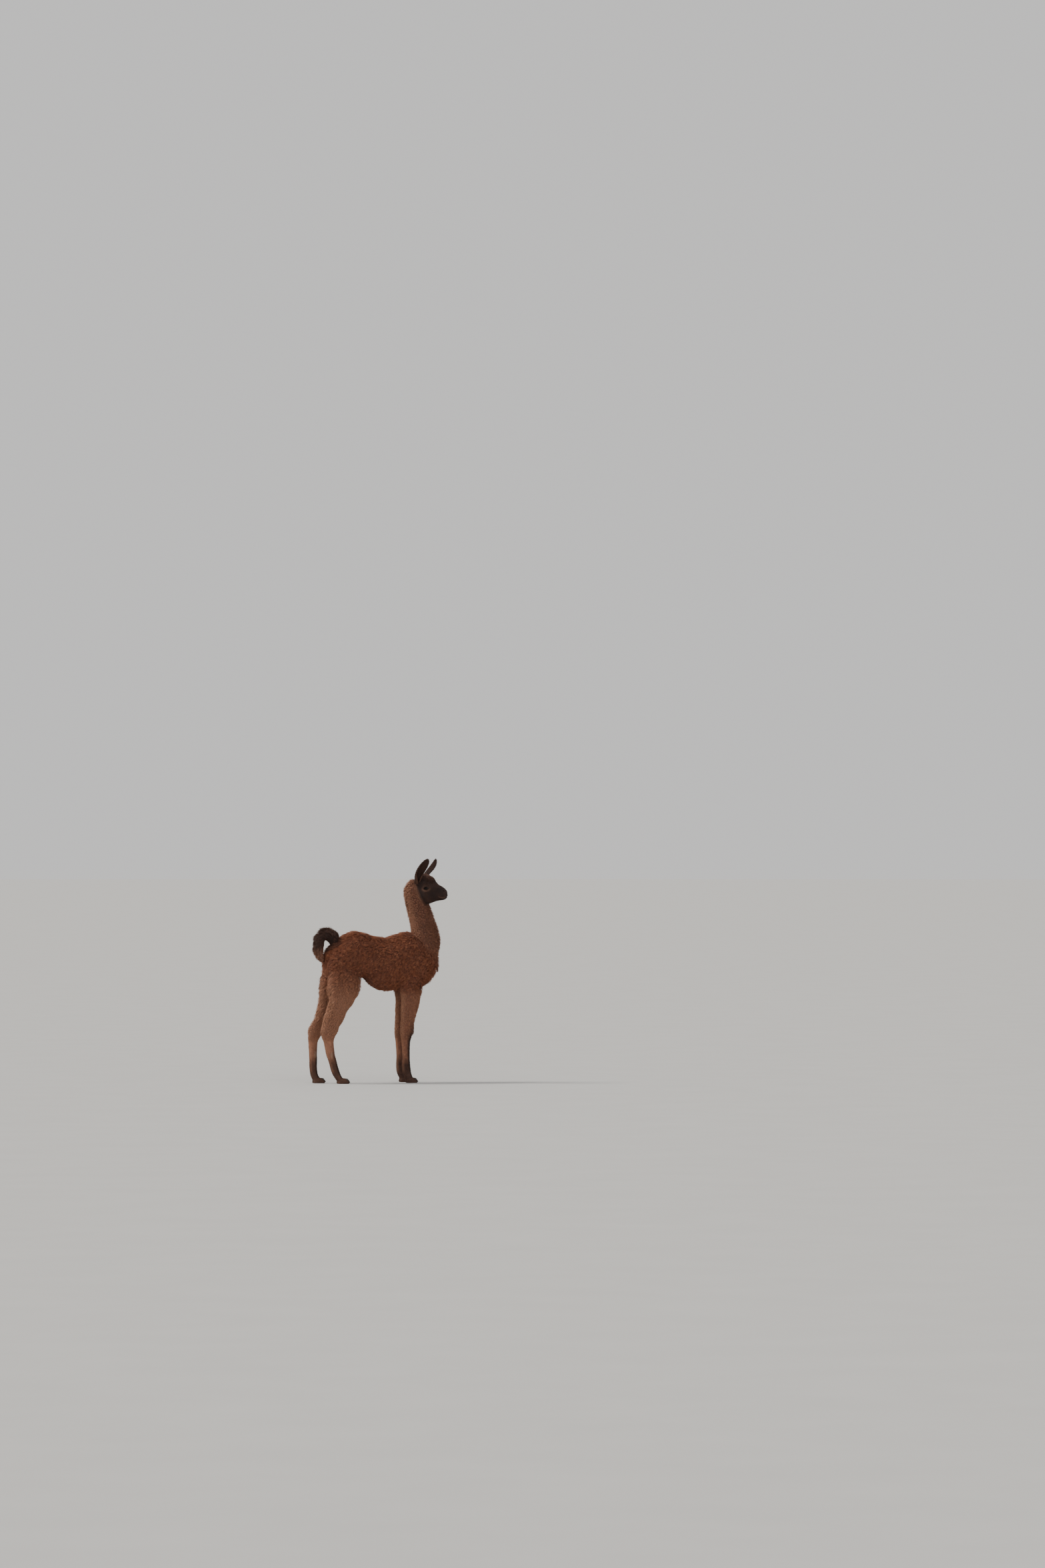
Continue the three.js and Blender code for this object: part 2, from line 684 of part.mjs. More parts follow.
// Nails, each let into its toe
for (const foot of feet) {
  [-1, 1].forEach((hand, index) => {
    const y = foot.side * foot.spread + (hand * TOE_WIDTH) / 2;
    const horn = nail(foot.heel + foot.length, y);
    body = body.subtract(nail(foot.heel + foot.length, y, GAP));
    put(`${foot.name}_nail_${index + 1}`, horn, NAIL_GREY, 0.5);
  });
}

// Eyes
for (const [hand, side] of Object.entries(SIDES)) {
  const globe = ball(Array(3).fill(EYE_RADIUS), atHead(side, EYE_PLACE));
  put(`eye_${hand}`, globe, EYE_DARK, 0.1);
}

// Takes what lies inside a block off the body as one node
function part(name, color, low, high, place) {
  put(name, body.intersect(block(low, high, place)), color);
  body = body.subtract(block(low, high, place, GAP));
}

for (const [hand, side] of Object.entries(SIDES)) {
  const [near, far] = side > 0 ? [GAP / 2, 300] : [-300, -GAP / 2];
  const slice = (name, color, rear, front, bottom, top) => {
    part(name, color, [rear, near, bottom], [front, far, top]);
  };
  slice(`fore_${hand}_foot`, SHIN_DARK, 60, 400, -10, FETLOCK_CUT);
  slice(`fore_${hand}_cannon`, LEG_BROWN, 60, 400, FETLOCK_CUT, KNEE_CUT);
  slice(`fore_${hand}_forearm`, LEG_BROWN, 60, 400, KNEE_CUT, ELBOW_CUT);
  slice(`hind_${hand}_foot`, SHIN_DARK, -500, -64, -10, FETLOCK_CUT);
  slice(`hind_${hand}_cannon`, LEG_BROWN, -500, -64, FETLOCK_CUT, HOCK_CUT);
  slice(`hind_${hand}_gaskin`, LEG_BROWN, -500, -64, HOCK_CUT, STIFLE_CUT);
  const tilt = new THREE.Matrix4().makeRotationY(THIGH_TILT).setPosition(-64, 0, 548);
  part(`hind_${hand}_thigh`, BODY_BROWN, [-400, near, -300], [0, far, 0], tilt);
}

// The head is parted behind the cheeks and under the jaw
const headTilt = new THREE.Matrix4().makeRotationY(NAPE_TILT).setPosition(8, 0, -84);
const headCut = new THREE.Matrix4().multiplyMatrices(headPlace, headTilt);
const crown = swell(body.intersect(block([-10, -80, 10], [70, 80, 110], headPlace)));
part('head', FACE_BLACK, [0, -200, 0], [400, 200, 400], headCut);

// The neck is parted from the withers to the front of the chest
const neckCut = new THREE.Matrix4().makeRotationY(NECK_TILT).setPosition(276, 0, 729);
part('neck', NECK_BROWN, [-400, -200, 0], [300, 200, 600], neckCut);
put('torso', body, BODY_BROWN);

for (const [hand, side] of Object.entries(SIDES)) {
  put(`ear_${hand}`, ear(side).subtract(crown), FACE_BLACK);
}

// The tail, cut where it meets the rump and parted into three lengths
const rump = body.intersect(block([-300, -120, 620], [-140, 120, 830]));
const tail = unite([skinForm(brush, 10, 1 - TAIL_CORE), ...tailLocks()]).subtract(swell(rump));
const TAIL_CUTS = { root: -231, arch: 716 };
const length = (low, high) => tail.intersect(block([low[0], -100, low[1]], [high[0], 100, high[1]]));
put('tail_root', length([TAIL_CUTS.root, 600], [-100, 900]), TAIL_DARK);
put('tail_arch', length([-400, TAIL_CUTS.arch], [TAIL_CUTS.root - GAP, 900]), TAIL_DARK);
put('tail_tip', length([-400, 500], [TAIL_CUTS.root - GAP, TAIL_CUTS.arch - GAP]), TAIL_DARK);

// The origin is under the middle of the model, on the floor
const box = new THREE.Box3().setFromObject(llama);
const centre = box.getCenter(new THREE.Vector3());
llama.position.set(-centre.x, -centre.y, -box.min.z);

export default llama;
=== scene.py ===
"""A young llama standing, life size: one skin, a coat of tufts, eyes, lashes and nails."""

import math

import bmesh
import bpy
import numpy as np
from mathutils import Matrix, Vector
from mathutils.kdtree import KDTree


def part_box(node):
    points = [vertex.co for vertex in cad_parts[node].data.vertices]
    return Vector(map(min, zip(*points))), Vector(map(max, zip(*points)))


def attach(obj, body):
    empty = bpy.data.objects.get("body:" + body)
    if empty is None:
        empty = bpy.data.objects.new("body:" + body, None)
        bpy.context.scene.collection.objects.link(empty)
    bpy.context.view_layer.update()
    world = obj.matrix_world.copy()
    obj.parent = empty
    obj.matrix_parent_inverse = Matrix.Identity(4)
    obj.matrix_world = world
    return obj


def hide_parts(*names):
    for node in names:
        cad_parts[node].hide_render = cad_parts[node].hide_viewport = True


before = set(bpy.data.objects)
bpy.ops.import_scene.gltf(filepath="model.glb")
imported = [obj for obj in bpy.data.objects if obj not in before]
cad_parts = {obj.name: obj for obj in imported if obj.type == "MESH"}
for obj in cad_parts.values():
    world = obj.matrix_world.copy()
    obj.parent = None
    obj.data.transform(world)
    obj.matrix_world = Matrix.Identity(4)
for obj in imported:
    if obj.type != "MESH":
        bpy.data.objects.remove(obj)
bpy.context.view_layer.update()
rng = np.random.default_rng(7)

# Sizes in millimetres, in the animal's own frame: it faces +X, its left is +Y, the floor is z = 0
HEAD_PIVOT = np.array([237.0, 0.0, 1010.0])
HEAD_TURN = math.radians(-40)
EYE_PLACE = np.array([74.0, 33.0, 10.0])
EYE_RADIUS = 15.0
EAR_THICKNESS = 3.2
EAR_TURN = math.radians(45)
TOE_WIDTH = 24.0
TOE_HEIGHT = 9.0
NAIL_LENGTH = 19.0

# Height in the head's frame where an ear's hair starts, and how far hair and nails keep off the floor
EAR_FOOT = 26
FLOOR_GAP = 0.4

# The share of the tail's radius that its skin takes up, under the brush
TAIL_CORE = 0.6

# The voxel of the first surface, and how often the whole, the head and the muzzle are evened out
VOXEL = 4.0
BODY_PASSES, HEAD_PASSES, MUZZLE_PASSES = 7, 5, 70

# Half the length of the opening between the lids, and its height above and below its middle line
LID_HALF = 13.5
LID_HEIGHTS = (8.6, -6.6)

# Folds of the lids: height, distance from the opening, width, and the band of heights they lie in
LID_FOLDS = [(1.2, 9, 5, (-4, 6)), (-1.1, 5.2, 1.1, (0, 3)), (-0.6, 4.6, 1.2, (0, -3))]

# The groove of the mouth and the two lips: height, distance above the mouth's line, width
LIPS = [(-2.6, 0, 1.1), (1.2, 5, 3), (0.9, -5, 3)]
NOSTRIL_PLACE = np.array([164, 18, -4])
NOSTRIL_SIZE = np.array([8.5, 6, 2.9])
NOSTRIL_TURN = np.array(Matrix.Rotation(0.5, 3, "Y") @ Matrix.Rotation(0.45, 3, "Z"))

# Side view stations of the trunk, rear to front: x, bottom, top, half width
TORSO = [
    [-264, 622, 664, 30], [-256, 585, 684, 62], [-232, 556, 712, 84], [-196, 545, 743, 94],
    [-160, 548, 776, 97], [-104, 554, 796, 98], [-42, 545, 784, 99], [-8, 512, 773, 103],
    [36, 487, 767, 107], [76, 479, 765, 109], [115, 483, 776, 108], [177, 484, 792, 102],
    [221, 492, 786, 97], [263, 504, 768, 90], [302, 539, 746, 77], [326, 578, 728, 62],
    [341, 612, 706, 42], [347, 632, 688, 22],
]

# Stations of the neck, base to top: z, rear, front, half width
NECK = [
    [650, 215, 342, 56], [690, 208, 355, 64], [720, 206, 360, 66], [749, 208, 363, 62],
    [786, 211, 356, 57], [819, 208, 346, 54], [854, 200, 332, 51], [882, 194, 325, 50],
    [906, 188, 314, 50], [940, 180, 308, 50], [975, 173, 290, 50], [1008, 171, 272, 47],
    [1033, 181, 262, 41], [1052, 198, 252, 29], [1062, 214, 240, 14],
]

# Stations of the head along its own length, nape to lips: x, bottom, top, half width
HEAD = [
    [-16, -22, 34, 22], [-4, -46, 54, 36], [22, -64, 76, 43], [50, -73, 87, 47],
    [71, -72, 79, 46], [90, -67, 68, 41], [104, -62, 55, 36], [120, -57, 35, 30],
    [137, -54, 25, 27], [153, -52, 16, 26], [164, -48, 7, 24], [171, -41, -3, 19],
    [174, -32, -16, 9],
]

# Stations of a front leg, top to sole: z, rear, front, half width, offset from the spread
FORELEG = [
    [610, 150, 236, 24, 6], [560, 138, 248, 32, 4], [486, 137, 246, 36, 0], [432, 139, 239, 33, 0],
    [396, 137, 231, 30, 0], [360, 137, 219, 28, 0], [313, 135, 208, 26, 0], [270, 134, 206, 27, 0],
    [245, 134, 195, 25, 0], [205, 137, 187, 21, 0], [140, 143, 184, 19, 0], [90, 141, 187, 20, 0],
    [56, 144, 191, 22, 0], [34, 152, 198, 23, 0], [14, 163, 202, 22, 0],
]

# Stations of the two hind legs, which are set one ahead of the other
HINDLEG = {
    "right": [
        [650, -220, -120, 30, -14], [600, -246, -88, 42, -10], [556, -250, -80, 46, -8],
        [480, -254, -87, 44, -8], [448, -249, -105, 41, -7], [416, -254, -126, 37, -5],
        [380, -264, -156, 32, -3], [332, -283, -179, 28, 0], [304, -294, -198, 26, 0],
        [278, -302, -207, 26, 0], [250, -299, -222, 24, 0], [217, -288, -229, 21, 0],
        [157, -274, -225, 19, 0], [122, -261, -216, 20, 0], [85, -250, -207, 22, 0],
        [50, -238, -194, 23, 0], [28, -224, -182, 23, 0], [12, -212, -172, 22, 0],
    ],
    "left": [
        [650, -226, -130, 30, -14], [600, -253, -100, 42, -10], [556, -262, -92, 46, -8],
        [480, -271, -110, 44, -8], [442, -277, -128, 41, -7], [404, -282, -152, 37, -5],
        [366, -290, -184, 32, -3], [332, -304, -210, 28, 0], [304, -326, -229, 26, 0],
        [278, -338, -244, 26, 0], [250, -340, -266, 24, 0], [217, -339, -283, 21, 0],
        [157, -334, -289, 19, 0], [122, -332, -289, 20, 0], [85, -331, -290, 22, 0],
        [50, -327, -286, 23, 0], [28, -320, -276, 23, 0], [12, -312, -268, 22, 0],
    ],
}

# Centreline of the tail in side view, root to tip: x, z, radius in the plane, radius across
TAIL = [
    [-172, 706, 26, 24], [-196, 727, 34, 30], [-217, 751, 36, 33], [-240, 768, 36, 34],
    [-262, 771, 34, 34], [-280, 757, 31, 32], [-288, 731, 27, 30], [-291, 706, 25, 26],
    [-287, 681, 20, 20], [-278, 658, 10, 10], [-274, 650, 3, 3],
]

# Centreline of an ear in the head's frame: x, y, z, half width, half depth, half angle of the opening
EAR = [
    [20, 31, 36, 15, 12, 8], [25, 38, 52, 18, 12, 22], [33, 47, 76, 21, 11, 50],
    [45, 56, 96, 22, 10, 62], [59, 62, 114, 22, 9.5, 70], [72, 63, 131, 20, 9, 75],
    [82, 60, 146, 16, 8, 80], [88, 55, 156, 10, 6.5, 82], [90, 52, 160, 5, 5.5, 84],
]

# The line of the mouth in the head's side view, corner to front
MOUTH_STATIONS = [[127, -21], [136, -29], [148, -35.5], [160, -37], [170, -34], [180, -29]]

# The way to each side, the x of each heel, the length of a sole, and how far a leg stands from the middle
SIDES = {"left": 1, "right": -1}
HEELS = {("fore", "left"): 158, ("fore", "right"): 162, ("hind", "left"): -314, ("hind", "right"): -214}
SOLES = {"fore": 54, "hind": 58}
SPREADS = {"fore": 55.0, "hind": 58.0}
LEG_TABLES = {("fore", hand): FORELEG for hand in SIDES} | {("hind", hand): HINDLEG[hand] for hand in SIDES}

# The slanting edge where the neck's wool meets the face, in the head's side view
JAW_SLOPE, JAW_OFFSET = (0.918, 0.395), 21.4

# Heights over which one kind of coat passes into the next, from its high end to its low end
ELBOW, STIFLE, KNEE, FETLOCK = (520, 455), (560, 430), (285, 215), (75, 45)

# How each kind of coat grows: run along the lie, rise off the skin, width, curl
GROWTH = {
    "torso": (24, 13.0, 2.5, 2.3),
    "neck": (8.5, 12.0, 2.6, 3.4),
    "crown": (9, 8.0, 2.0, 1.8),
    "face": (5.0, 1.7, 1.0, 0.1),
    "leg": (14, 6.5, 2.3, 0.9),
    "shin": (6.8, 2.0, 1.35, 0.3),
    "foot": (4.6, 1.7, 1.2, 0.2),
    "tail": (36, 18.0, 3.4, 3.5),
}
ZONE_GROUPS = (("torso",), ("neck",), ("face",), ("crown",), ("leg",), ("shin", "foot"), ("tail",))

# The dark front of the shin: its top on fore and hind legs, and the height it fades over
SHIN_TOPS = {"fore": 370, "hind": 250}
SHIN_FADE = 150
DARK_FOOT = (165, 95)

# The pale glands of the hind cannons: x and side of each, then height and half sizes of both
GLANDS = ((-246, -1), (-303, 1))
GLAND_HEIGHT, GLAND_LENGTH, GLAND_TALL = 152, 5, 17

# Start and length of the coat's unwraps, and the height of the line that the trunk's one goes round
TRUNK_START, TRUNK_LENGTH, TRUNK_MIDDLE = -265, 615, 650
NECK_START, NECK_RISE = 640, 430
HEAD_START, HEAD_LENGTH = -20, 200
LEG_RISE = 620

# The floor's rings in metres, the sky's strength, and the lights: source, strength, degrees wide, colour
FLOOR_RINGS = (2, 8, 30, 120)
SKY_STRENGTH = 1.02
LIGHTS = {
    "key": ((-0.8, 0.3, 1.1), 3.1, 14, (1.0, 0.96, 0.9)),
    "fill": ((0.1, -1.0, 0.6), 0.7, 50, (1, 1, 1)),
}

# The photo's frame in pixels, and in it the column of the animal's origin and the row level with the lens
FRAME_WIDE, FRAME_TALL = 1568, 2352
ORIGIN_COLUMN, LEVEL_ROW = 560, 1240

# The lens in millimetres, and the camera's distance and height in metres
LENS, SENSOR = 135.0, 36
CAMERA_DISTANCE, CAMERA_HEIGHT = 30.87, 1.344
CAMERA_TURN = math.radians(-16)

HEAD_AXES = np.array([
    [math.cos(HEAD_TURN), -math.sin(HEAD_TURN), 0],
    [math.sin(HEAD_TURN), math.cos(HEAD_TURN), 0],
    [0, 0, 1],
])


def from_head(points):
    return points @ HEAD_AXES.T + HEAD_PIVOT


def to_head(points):
    return (points - HEAD_PIVOT) @ HEAD_AXES


def find_shift():
    """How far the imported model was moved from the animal's own frame, in metres."""
    low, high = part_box("eye_left")
    here = (np.array(low) + np.array(high)) / 2
    return here - from_head(EYE_PLACE) / 1000


SHIFT = find_shift()


def to_row(points):
    """From millimetres in the animal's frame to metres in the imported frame."""
    return points / 1000 + SHIFT


def fade(low, high, value):
    """Rises smoothly from 0 at low to 1 at high, which may lie below it."""
    t = np.clip((value - low) / (high - low), 0, 1)
    return t * t * (3 - 2 * t)


def bell(value, width, power=2):
    """1 at nought, falling away on both sides over the width."""
    return np.exp(-((value / width) ** power))


def unit(vectors):
    return vectors / np.maximum(np.linalg.norm(vectors, axis=-1, keepdims=True), 1e-9)


def signed_power(value, power):
    return np.sign(value) * np.abs(value) ** power


def around(sides):
    return np.linspace(0, 2 * math.pi, sides, endpoint=False)


def curve_through(stations):
    """Rows at any place among the stations, by a smooth curve through them."""
    table = np.array(stations, float)
    rows = np.vstack([2 * table[0] - table[1], table, 2 * table[-1] - table[-2]])

    def at(index):
        index = np.clip(np.asarray(index, float), 0, len(table) - 1)
        low = np.minimum(index.astype(int), len(table) - 2)
        t = (index - low)[..., None]
        a, b, c, d = rows[low], rows[low + 1], rows[low + 2], rows[low + 3]
        bend = 2 * a - 5 * b + 4 * c - d
        return 0.5 * (2 * b + (c - a) * t + bend * t**2 + (3 * b - a - 3 * c + d) * t**3)

    return at


tail_line = curve_through(TAIL)
MOUTH_LINE = curve_through(MOUTH_STATIONS)(np.linspace(0, len(MOUTH_STATIONS) - 1, 31))


def trunk_section(rows, c, s, _):
    inset = 13
    x, bottom, top, half = np.moveaxis(rows, -1, 0)
    along = np.clip(x, TORSO[0][0] + inset, TORSO[-1][0] - inset)
    return np.stack([along, (half - inset) * c, (bottom + top) / 2 + ((top - bottom) / 2 - inset) * s], -1)


def upright(inset, spread=0.0, side=1):
    """Sections of a form that stands on its own side of the body, such as the neck or a leg."""

    def section(rows, c, s, _):
        z, rear, front, half = np.moveaxis(rows[..., :4], -1, 0)
        offset = rows[..., 4] if rows.shape[-1] > 4 else 0.0
        taken = inset(z)
        x = (rear + front) / 2 + ((front - rear) / 2 - taken) * c
        y = side * (spread + offset) + side * (half - taken) * s
        return np.stack([x, y, z], -1)

    return section


# How far the skin lies inside the outline, by height
INSETS = {
    "neck": lambda z: 9.5 + 0 * z,
    "fore": lambda z: 2.2 + 3.2 * fade(120, 300, z) + 6 * fade(470, 560, z),
    "hind": lambda z: (2.2 + 3.8 * fade(120, 300, z) + 5.5 * fade(330, 480, z)
                       + 3 * fade(500, 560, z)),
}


def skull_section(rows, c, s, _):
    x, bottom, top, half = np.moveaxis(rows, -1, 0)
    inset = 1.4 + 1.8 * (1 - fade(90, 150, x))
    middle = bottom + 0.52 * (top - bottom)
    crown = 5 * fade(10, 30, x) * (1 - fade(100, 116, x))
    rise = np.where(s > 0, top - middle - inset - crown, middle - bottom - inset)
    return from_head(np.stack([x, (half - inset) * c, middle + rise * s], -1))


def tail_way(index):
    """The way along the tail, and the way out of its arch."""
    along = tail_line(index + 0.2) - tail_line(index - 0.2)
    flat = unit(np.stack([along[..., 0], 0 * along[..., 0], along[..., 1]], -1))
    return flat, np.stack([flat[..., 2], 0 * flat[..., 0], -flat[..., 0]], -1)


def tail_section(rows, c, s, index):
    x, z, tall, wide = np.moveaxis(rows, -1, 0)
    _, up = tail_way(index)
    centre = np.stack([x, TAIL_CORE * wide * c, z], -1)
    return centre + up * (TAIL_CORE * tall * s)[..., None]


def ring_faces(rings, sides):
    """Quads between rings of equal length, each closed round."""
    return [
        (ring * sides + side, ring * sides + (side + 1) % sides,
         (ring + 1) * sides + (side + 1) % sides, (ring + 1) * sides + side)
        for ring in range(rings - 1) for side in range(sides)
    ]


def closed_shell(rings):
    """A surface through rings of points with a fan at each end: points and faces."""
    count, sides = rings.shape[:2]
    points = np.concatenate([rings.reshape(-1, 3), rings[:1].mean(1), rings[-1:].mean(1)])
    faces = ring_faces(count, sides)
    near, far = count * sides, count * sides + 1
    start = (count - 1) * sides
    for side in range(sides):
        after = (side + 1) % sides
        faces.append((near, after, side))
        faces.append((far, start + side, start + after))
    return points, faces


def loft(stations, power, section, sides, steps):
    """A closed shell through the sections along a row of stations."""
    last = len(stations) - 1
    index = np.linspace(0, last, last * steps + 1)[:, None] + 0 * around(sides)
    angle = 0 * index + around(sides)
    c, s = signed_power(np.cos(angle), power), signed_power(np.sin(angle), power)
    return closed_shell(section(curve_through(stations)(index), c, s, index))


def toe_shell(centre, sizes, sides=24):
    """A rounded toe as a closed shell."""
    rise = np.linspace(-math.pi / 2 + 0.1, math.pi / 2 - 0.1, 13)[:, None]
    turn = around(sides)
    wide = signed_power(np.cos(turn), 0.85), signed_power(np.sin(turn), 0.85)
    rings = np.stack([np.cos(rise) * wide[0], np.cos(rise) * wide[1], np.sin(rise) + 0 * turn], -1)
    return closed_shell(rings * np.array(sizes) + np.array(centre))


def toe_centres():
    for (end, hand), heel in HEELS.items():
        for order, inner in enumerate((-1, 1)):
            y = SIDES[hand] * SPREADS[end] + inner * TOE_WIDTH / 2
            yield end, hand, order, np.array([heel + SOLES[end] / 2, y, TOE_HEIGHT])


def join_shells(shells):
    points, faces, start = [], [], 0
    for shell_points, shell_faces in shells:
        points.append(shell_points)
        faces.extend(tuple(corner + start for corner in face) for face in shell_faces)
        start += len(shell_points)
    return np.concatenate(points), faces


def new_mesh(name, points, faces):
    mesh = bpy.data.meshes.new(name)
    mesh.from_pydata([tuple(point) for point in points], [], faces)
    mesh.update()
    return mesh


def read(items, name, width, kind=float):
    """A value of every vertex, edge or triangle, as rows."""
    flat = np.empty(width * len(items), kind)
    items.foreach_get(name, flat)
    return flat.reshape(-1, width)


def read_points(mesh):
    return read(mesh.vertices, "co", 3)


def read_edges(mesh):
    return read(mesh.edges, "vertices", 2, np.int64)


def read_normals(mesh):
    return read(mesh.vertex_normals, "vector", 3)


def add_object(name, data):
    thing = bpy.data.objects.new(name, data)
    bpy.context.scene.collection.objects.link(thing)
    return thing


def write_points(mesh, points):
    mesh.vertices.foreach_set("co", np.asarray(points, np.float32).ravel())
    mesh.update()


def neighbour_mean(points, edges):
    """The middle of the neighbours of every point."""
    count = np.maximum(np.bincount(edges.ravel(), minlength=len(points)), 1)
    one, other = edges.T
    total = [
        np.bincount(one, points[other, axis], len(points))
        + np.bincount(other, points[one, axis], len(points)) for axis in range(3)
    ]
    return np.stack(total, -1) / count[:, None]


def relax(points, edges, passes, keep=None):
    """Evens a surface out without shrinking it, except where keep is 1."""
    ease = 1.0 if keep is None else (1 - keep)[:, None]
    for _ in range(passes):
        for pull in (0.55, -0.57):
            points = points + ease * pull * (neighbour_mean(points, edges) - points)
    return points


def fuse(points, faces):
    """One closed surface round all the shells."""
    mesh = new_mesh("fused", points, faces)
    body = add_object("fused", mesh)
    remesh = body.modifiers.new("fuse", "REMESH")
    remesh.mode = "VOXEL"
    remesh.voxel_size = VOXEL
    ready = body.evaluated_get(bpy.context.evaluated_depsgraph_get())
    fused = bpy.data.meshes.new_from_object(ready)
    bpy.data.objects.remove(body)
    bpy.data.meshes.remove(mesh)
    return fused


def eye_distance(local):
    """How far a point lies outside the opening of the lids, and how high above its middle line."""
    dx = local[:, 0] - EYE_PLACE[0]
    dz = local[:, 2] - EYE_PLACE[2]
    above = dz - (dx / LID_HALF - 0.5)
    near = (np.hypot(dx, dz) < 45) & (np.abs(local[:, 1]) > 15)
    away = np.full(len(local), 40.0)
    along = np.linspace(-LID_HALF, LID_HALF, 41)
    edge = np.concatenate([
        np.stack([along, high * (1 - (along / LID_HALF) ** 2)], -1) for high in LID_HEIGHTS
    ])
    here = np.stack([dx[near], above[near]], -1)
    far = np.sqrt(((here[:, None] - edge[None]) ** 2).sum(-1)).min(1)
    limit = np.where(here[:, 1] > 0, *LID_HEIGHTS) * (1 - (here[:, 0] / LID_HALF) ** 2)
    inside = (np.abs(here[:, 0]) < LID_HALF) & (np.abs(here[:, 1]) < np.abs(limit))
    away[near] = np.where(inside, -far, far)
    return away, above


def line_distance(points, line):
    """Signed distance of side view points from a line, above it positive."""
    best = np.full(len(points), 1e9)
    sign = np.ones(len(points))
    for start, end in zip(line[:-1], line[1:]):
        way = end - start
        t = np.clip(((points - start) @ way) / (way @ way), 0, 1)
        away = points - (start + t[:, None] * way)
        far = np.linalg.norm(away, axis=1)
        closer = far < best
        best = np.where(closer, far, best)
        sign = np.where(closer, np.sign(way[0] * away[:, 1] - way[1] * away[:, 0]), sign)
    return best * sign


def nostril_distance(local):
    """1 on the edge of a nostril, less within it."""
    mirrored = np.stack([local[:, 0], np.abs(local[:, 1]), local[:, 2]], -1)
    return np.linalg.norm((mirrored - NOSTRIL_PLACE) @ NOSTRIL_TURN / NOSTRIL_SIZE, axis=1)


def carve_head(points):
    """Lids round the eyes, nostrils, the line of the mouth, lips and the cleft of the upper lip."""
    local = to_head(points)
    near = (local[:, 0] > 30) & (local[:, 0] < 190) & (local[:, 2] > -80) & (local[:, 2] < 100)
    part = local[near]
    side, lateral = np.sign(part[:, 1]), np.abs(part[:, 1])

    away, above = eye_distance(part)
    spread = np.hypot(part[:, 0] - EYE_PLACE[0], part[:, 2] - EYE_PLACE[2])
    globe = EYE_PLACE[1] + np.sqrt(np.maximum(EYE_RADIUS**2 - spread**2, 0))
    by_eye = (spread < 40) & (lateral > 22)
    rim = globe + 1.0 + 0.6 * bell(away - 1.3, 1.2)
    mound = lateral + 3.2 * bell(spread, 23, 4)
    lifted = mound + np.maximum(rim - mound, 0) * (1 - fade(0, 12, away))
    for high, off, width, band in LID_FOLDS:
        lifted += high * bell(away - off, width) * fade(*band, above)
    sunk = globe - 2.5
    opened = lifted + (sunk - lifted) * fade(0, 1.1, -away)
    lateral = np.where(by_eye, np.where(away < 0, opened, lifted), lateral)
    part[:, 1] = side * lateral

    muzzle_middle = np.array([128, 0, -20])
    out = unit(part - muzzle_middle)
    hole = nostril_distance(part)
    push = -5.5 * (1 - fade(0.55, 1.2, hole)) + 0.9 * bell(hole - 1.7, 0.4)
    mouth = line_distance(part[:, [0, 2]], MOUTH_LINE)
    along = fade(126, 134, part[:, 0])
    for high, off, width in LIPS:
        push += high * along * bell(mouth - off, width)
    cleft = fade(160, 168, part[:, 0]) * fade(-36, -30, part[:, 2])
    push -= 1.8 * (cleft * fade(0, -8, part[:, 2])) * bell(part[:, 1], 1.2)
    part += out * push[:, None]
    local[near] = part
    return from_head(local)


def round_muzzle(points, edges):
    """Narrows the muzzle towards its end and rounds the corners of the blunt tip."""
    local = to_head(points)
    local[:, 1] *= 1 - 0.16 * fade(138, 176, local[:, 0]) * (local[:, 2] < 60)
    ease = fade(136, 158, local[:, 0]) * (local[:, 2] < 40)
    ends = edges[(ease[edges] > 0).any(1)]
    for _ in range(MUZZLE_PASSES):
        local = local + 0.5 * ease[:, None] * (neighbour_mean(local, ends) - local)
    return from_head(local)


def refine_head(mesh):
    """More faces on the head, and more again by the eyes, nostrils and mouth."""
    bm = bmesh.new()
    bm.from_mesh(mesh)
    for by_detail in (False, True):
        x, y, z = to_head(np.array([vertex.co for vertex in bm.verts])).T
        marked = (x > 34) & (x < 190) & (z > -85) & (z < 100)
        if by_detail:
            spread = np.hypot(x - EYE_PLACE[0], z - EYE_PLACE[2])
            marked = ((spread < 25) & (np.abs(y) > 22)) | (x > 126)
        bm.verts.ensure_lookup_table()
        edges = [e for e in bm.edges if marked[e.verts[0].index] and marked[e.verts[1].index]]
        bmesh.ops.subdivide_edges(bm, edges=edges, cuts=1, use_grid_fill=True)
        bm.verts.index_update()
    bm.to_mesh(mesh)
    bm.free()
    mesh.update()


def ear_facing(side):
    """The way an ear's cup opens, in the head's frame."""
    return np.array([math.cos(EAR_TURN), side * math.sin(EAR_TURN), 0.0])


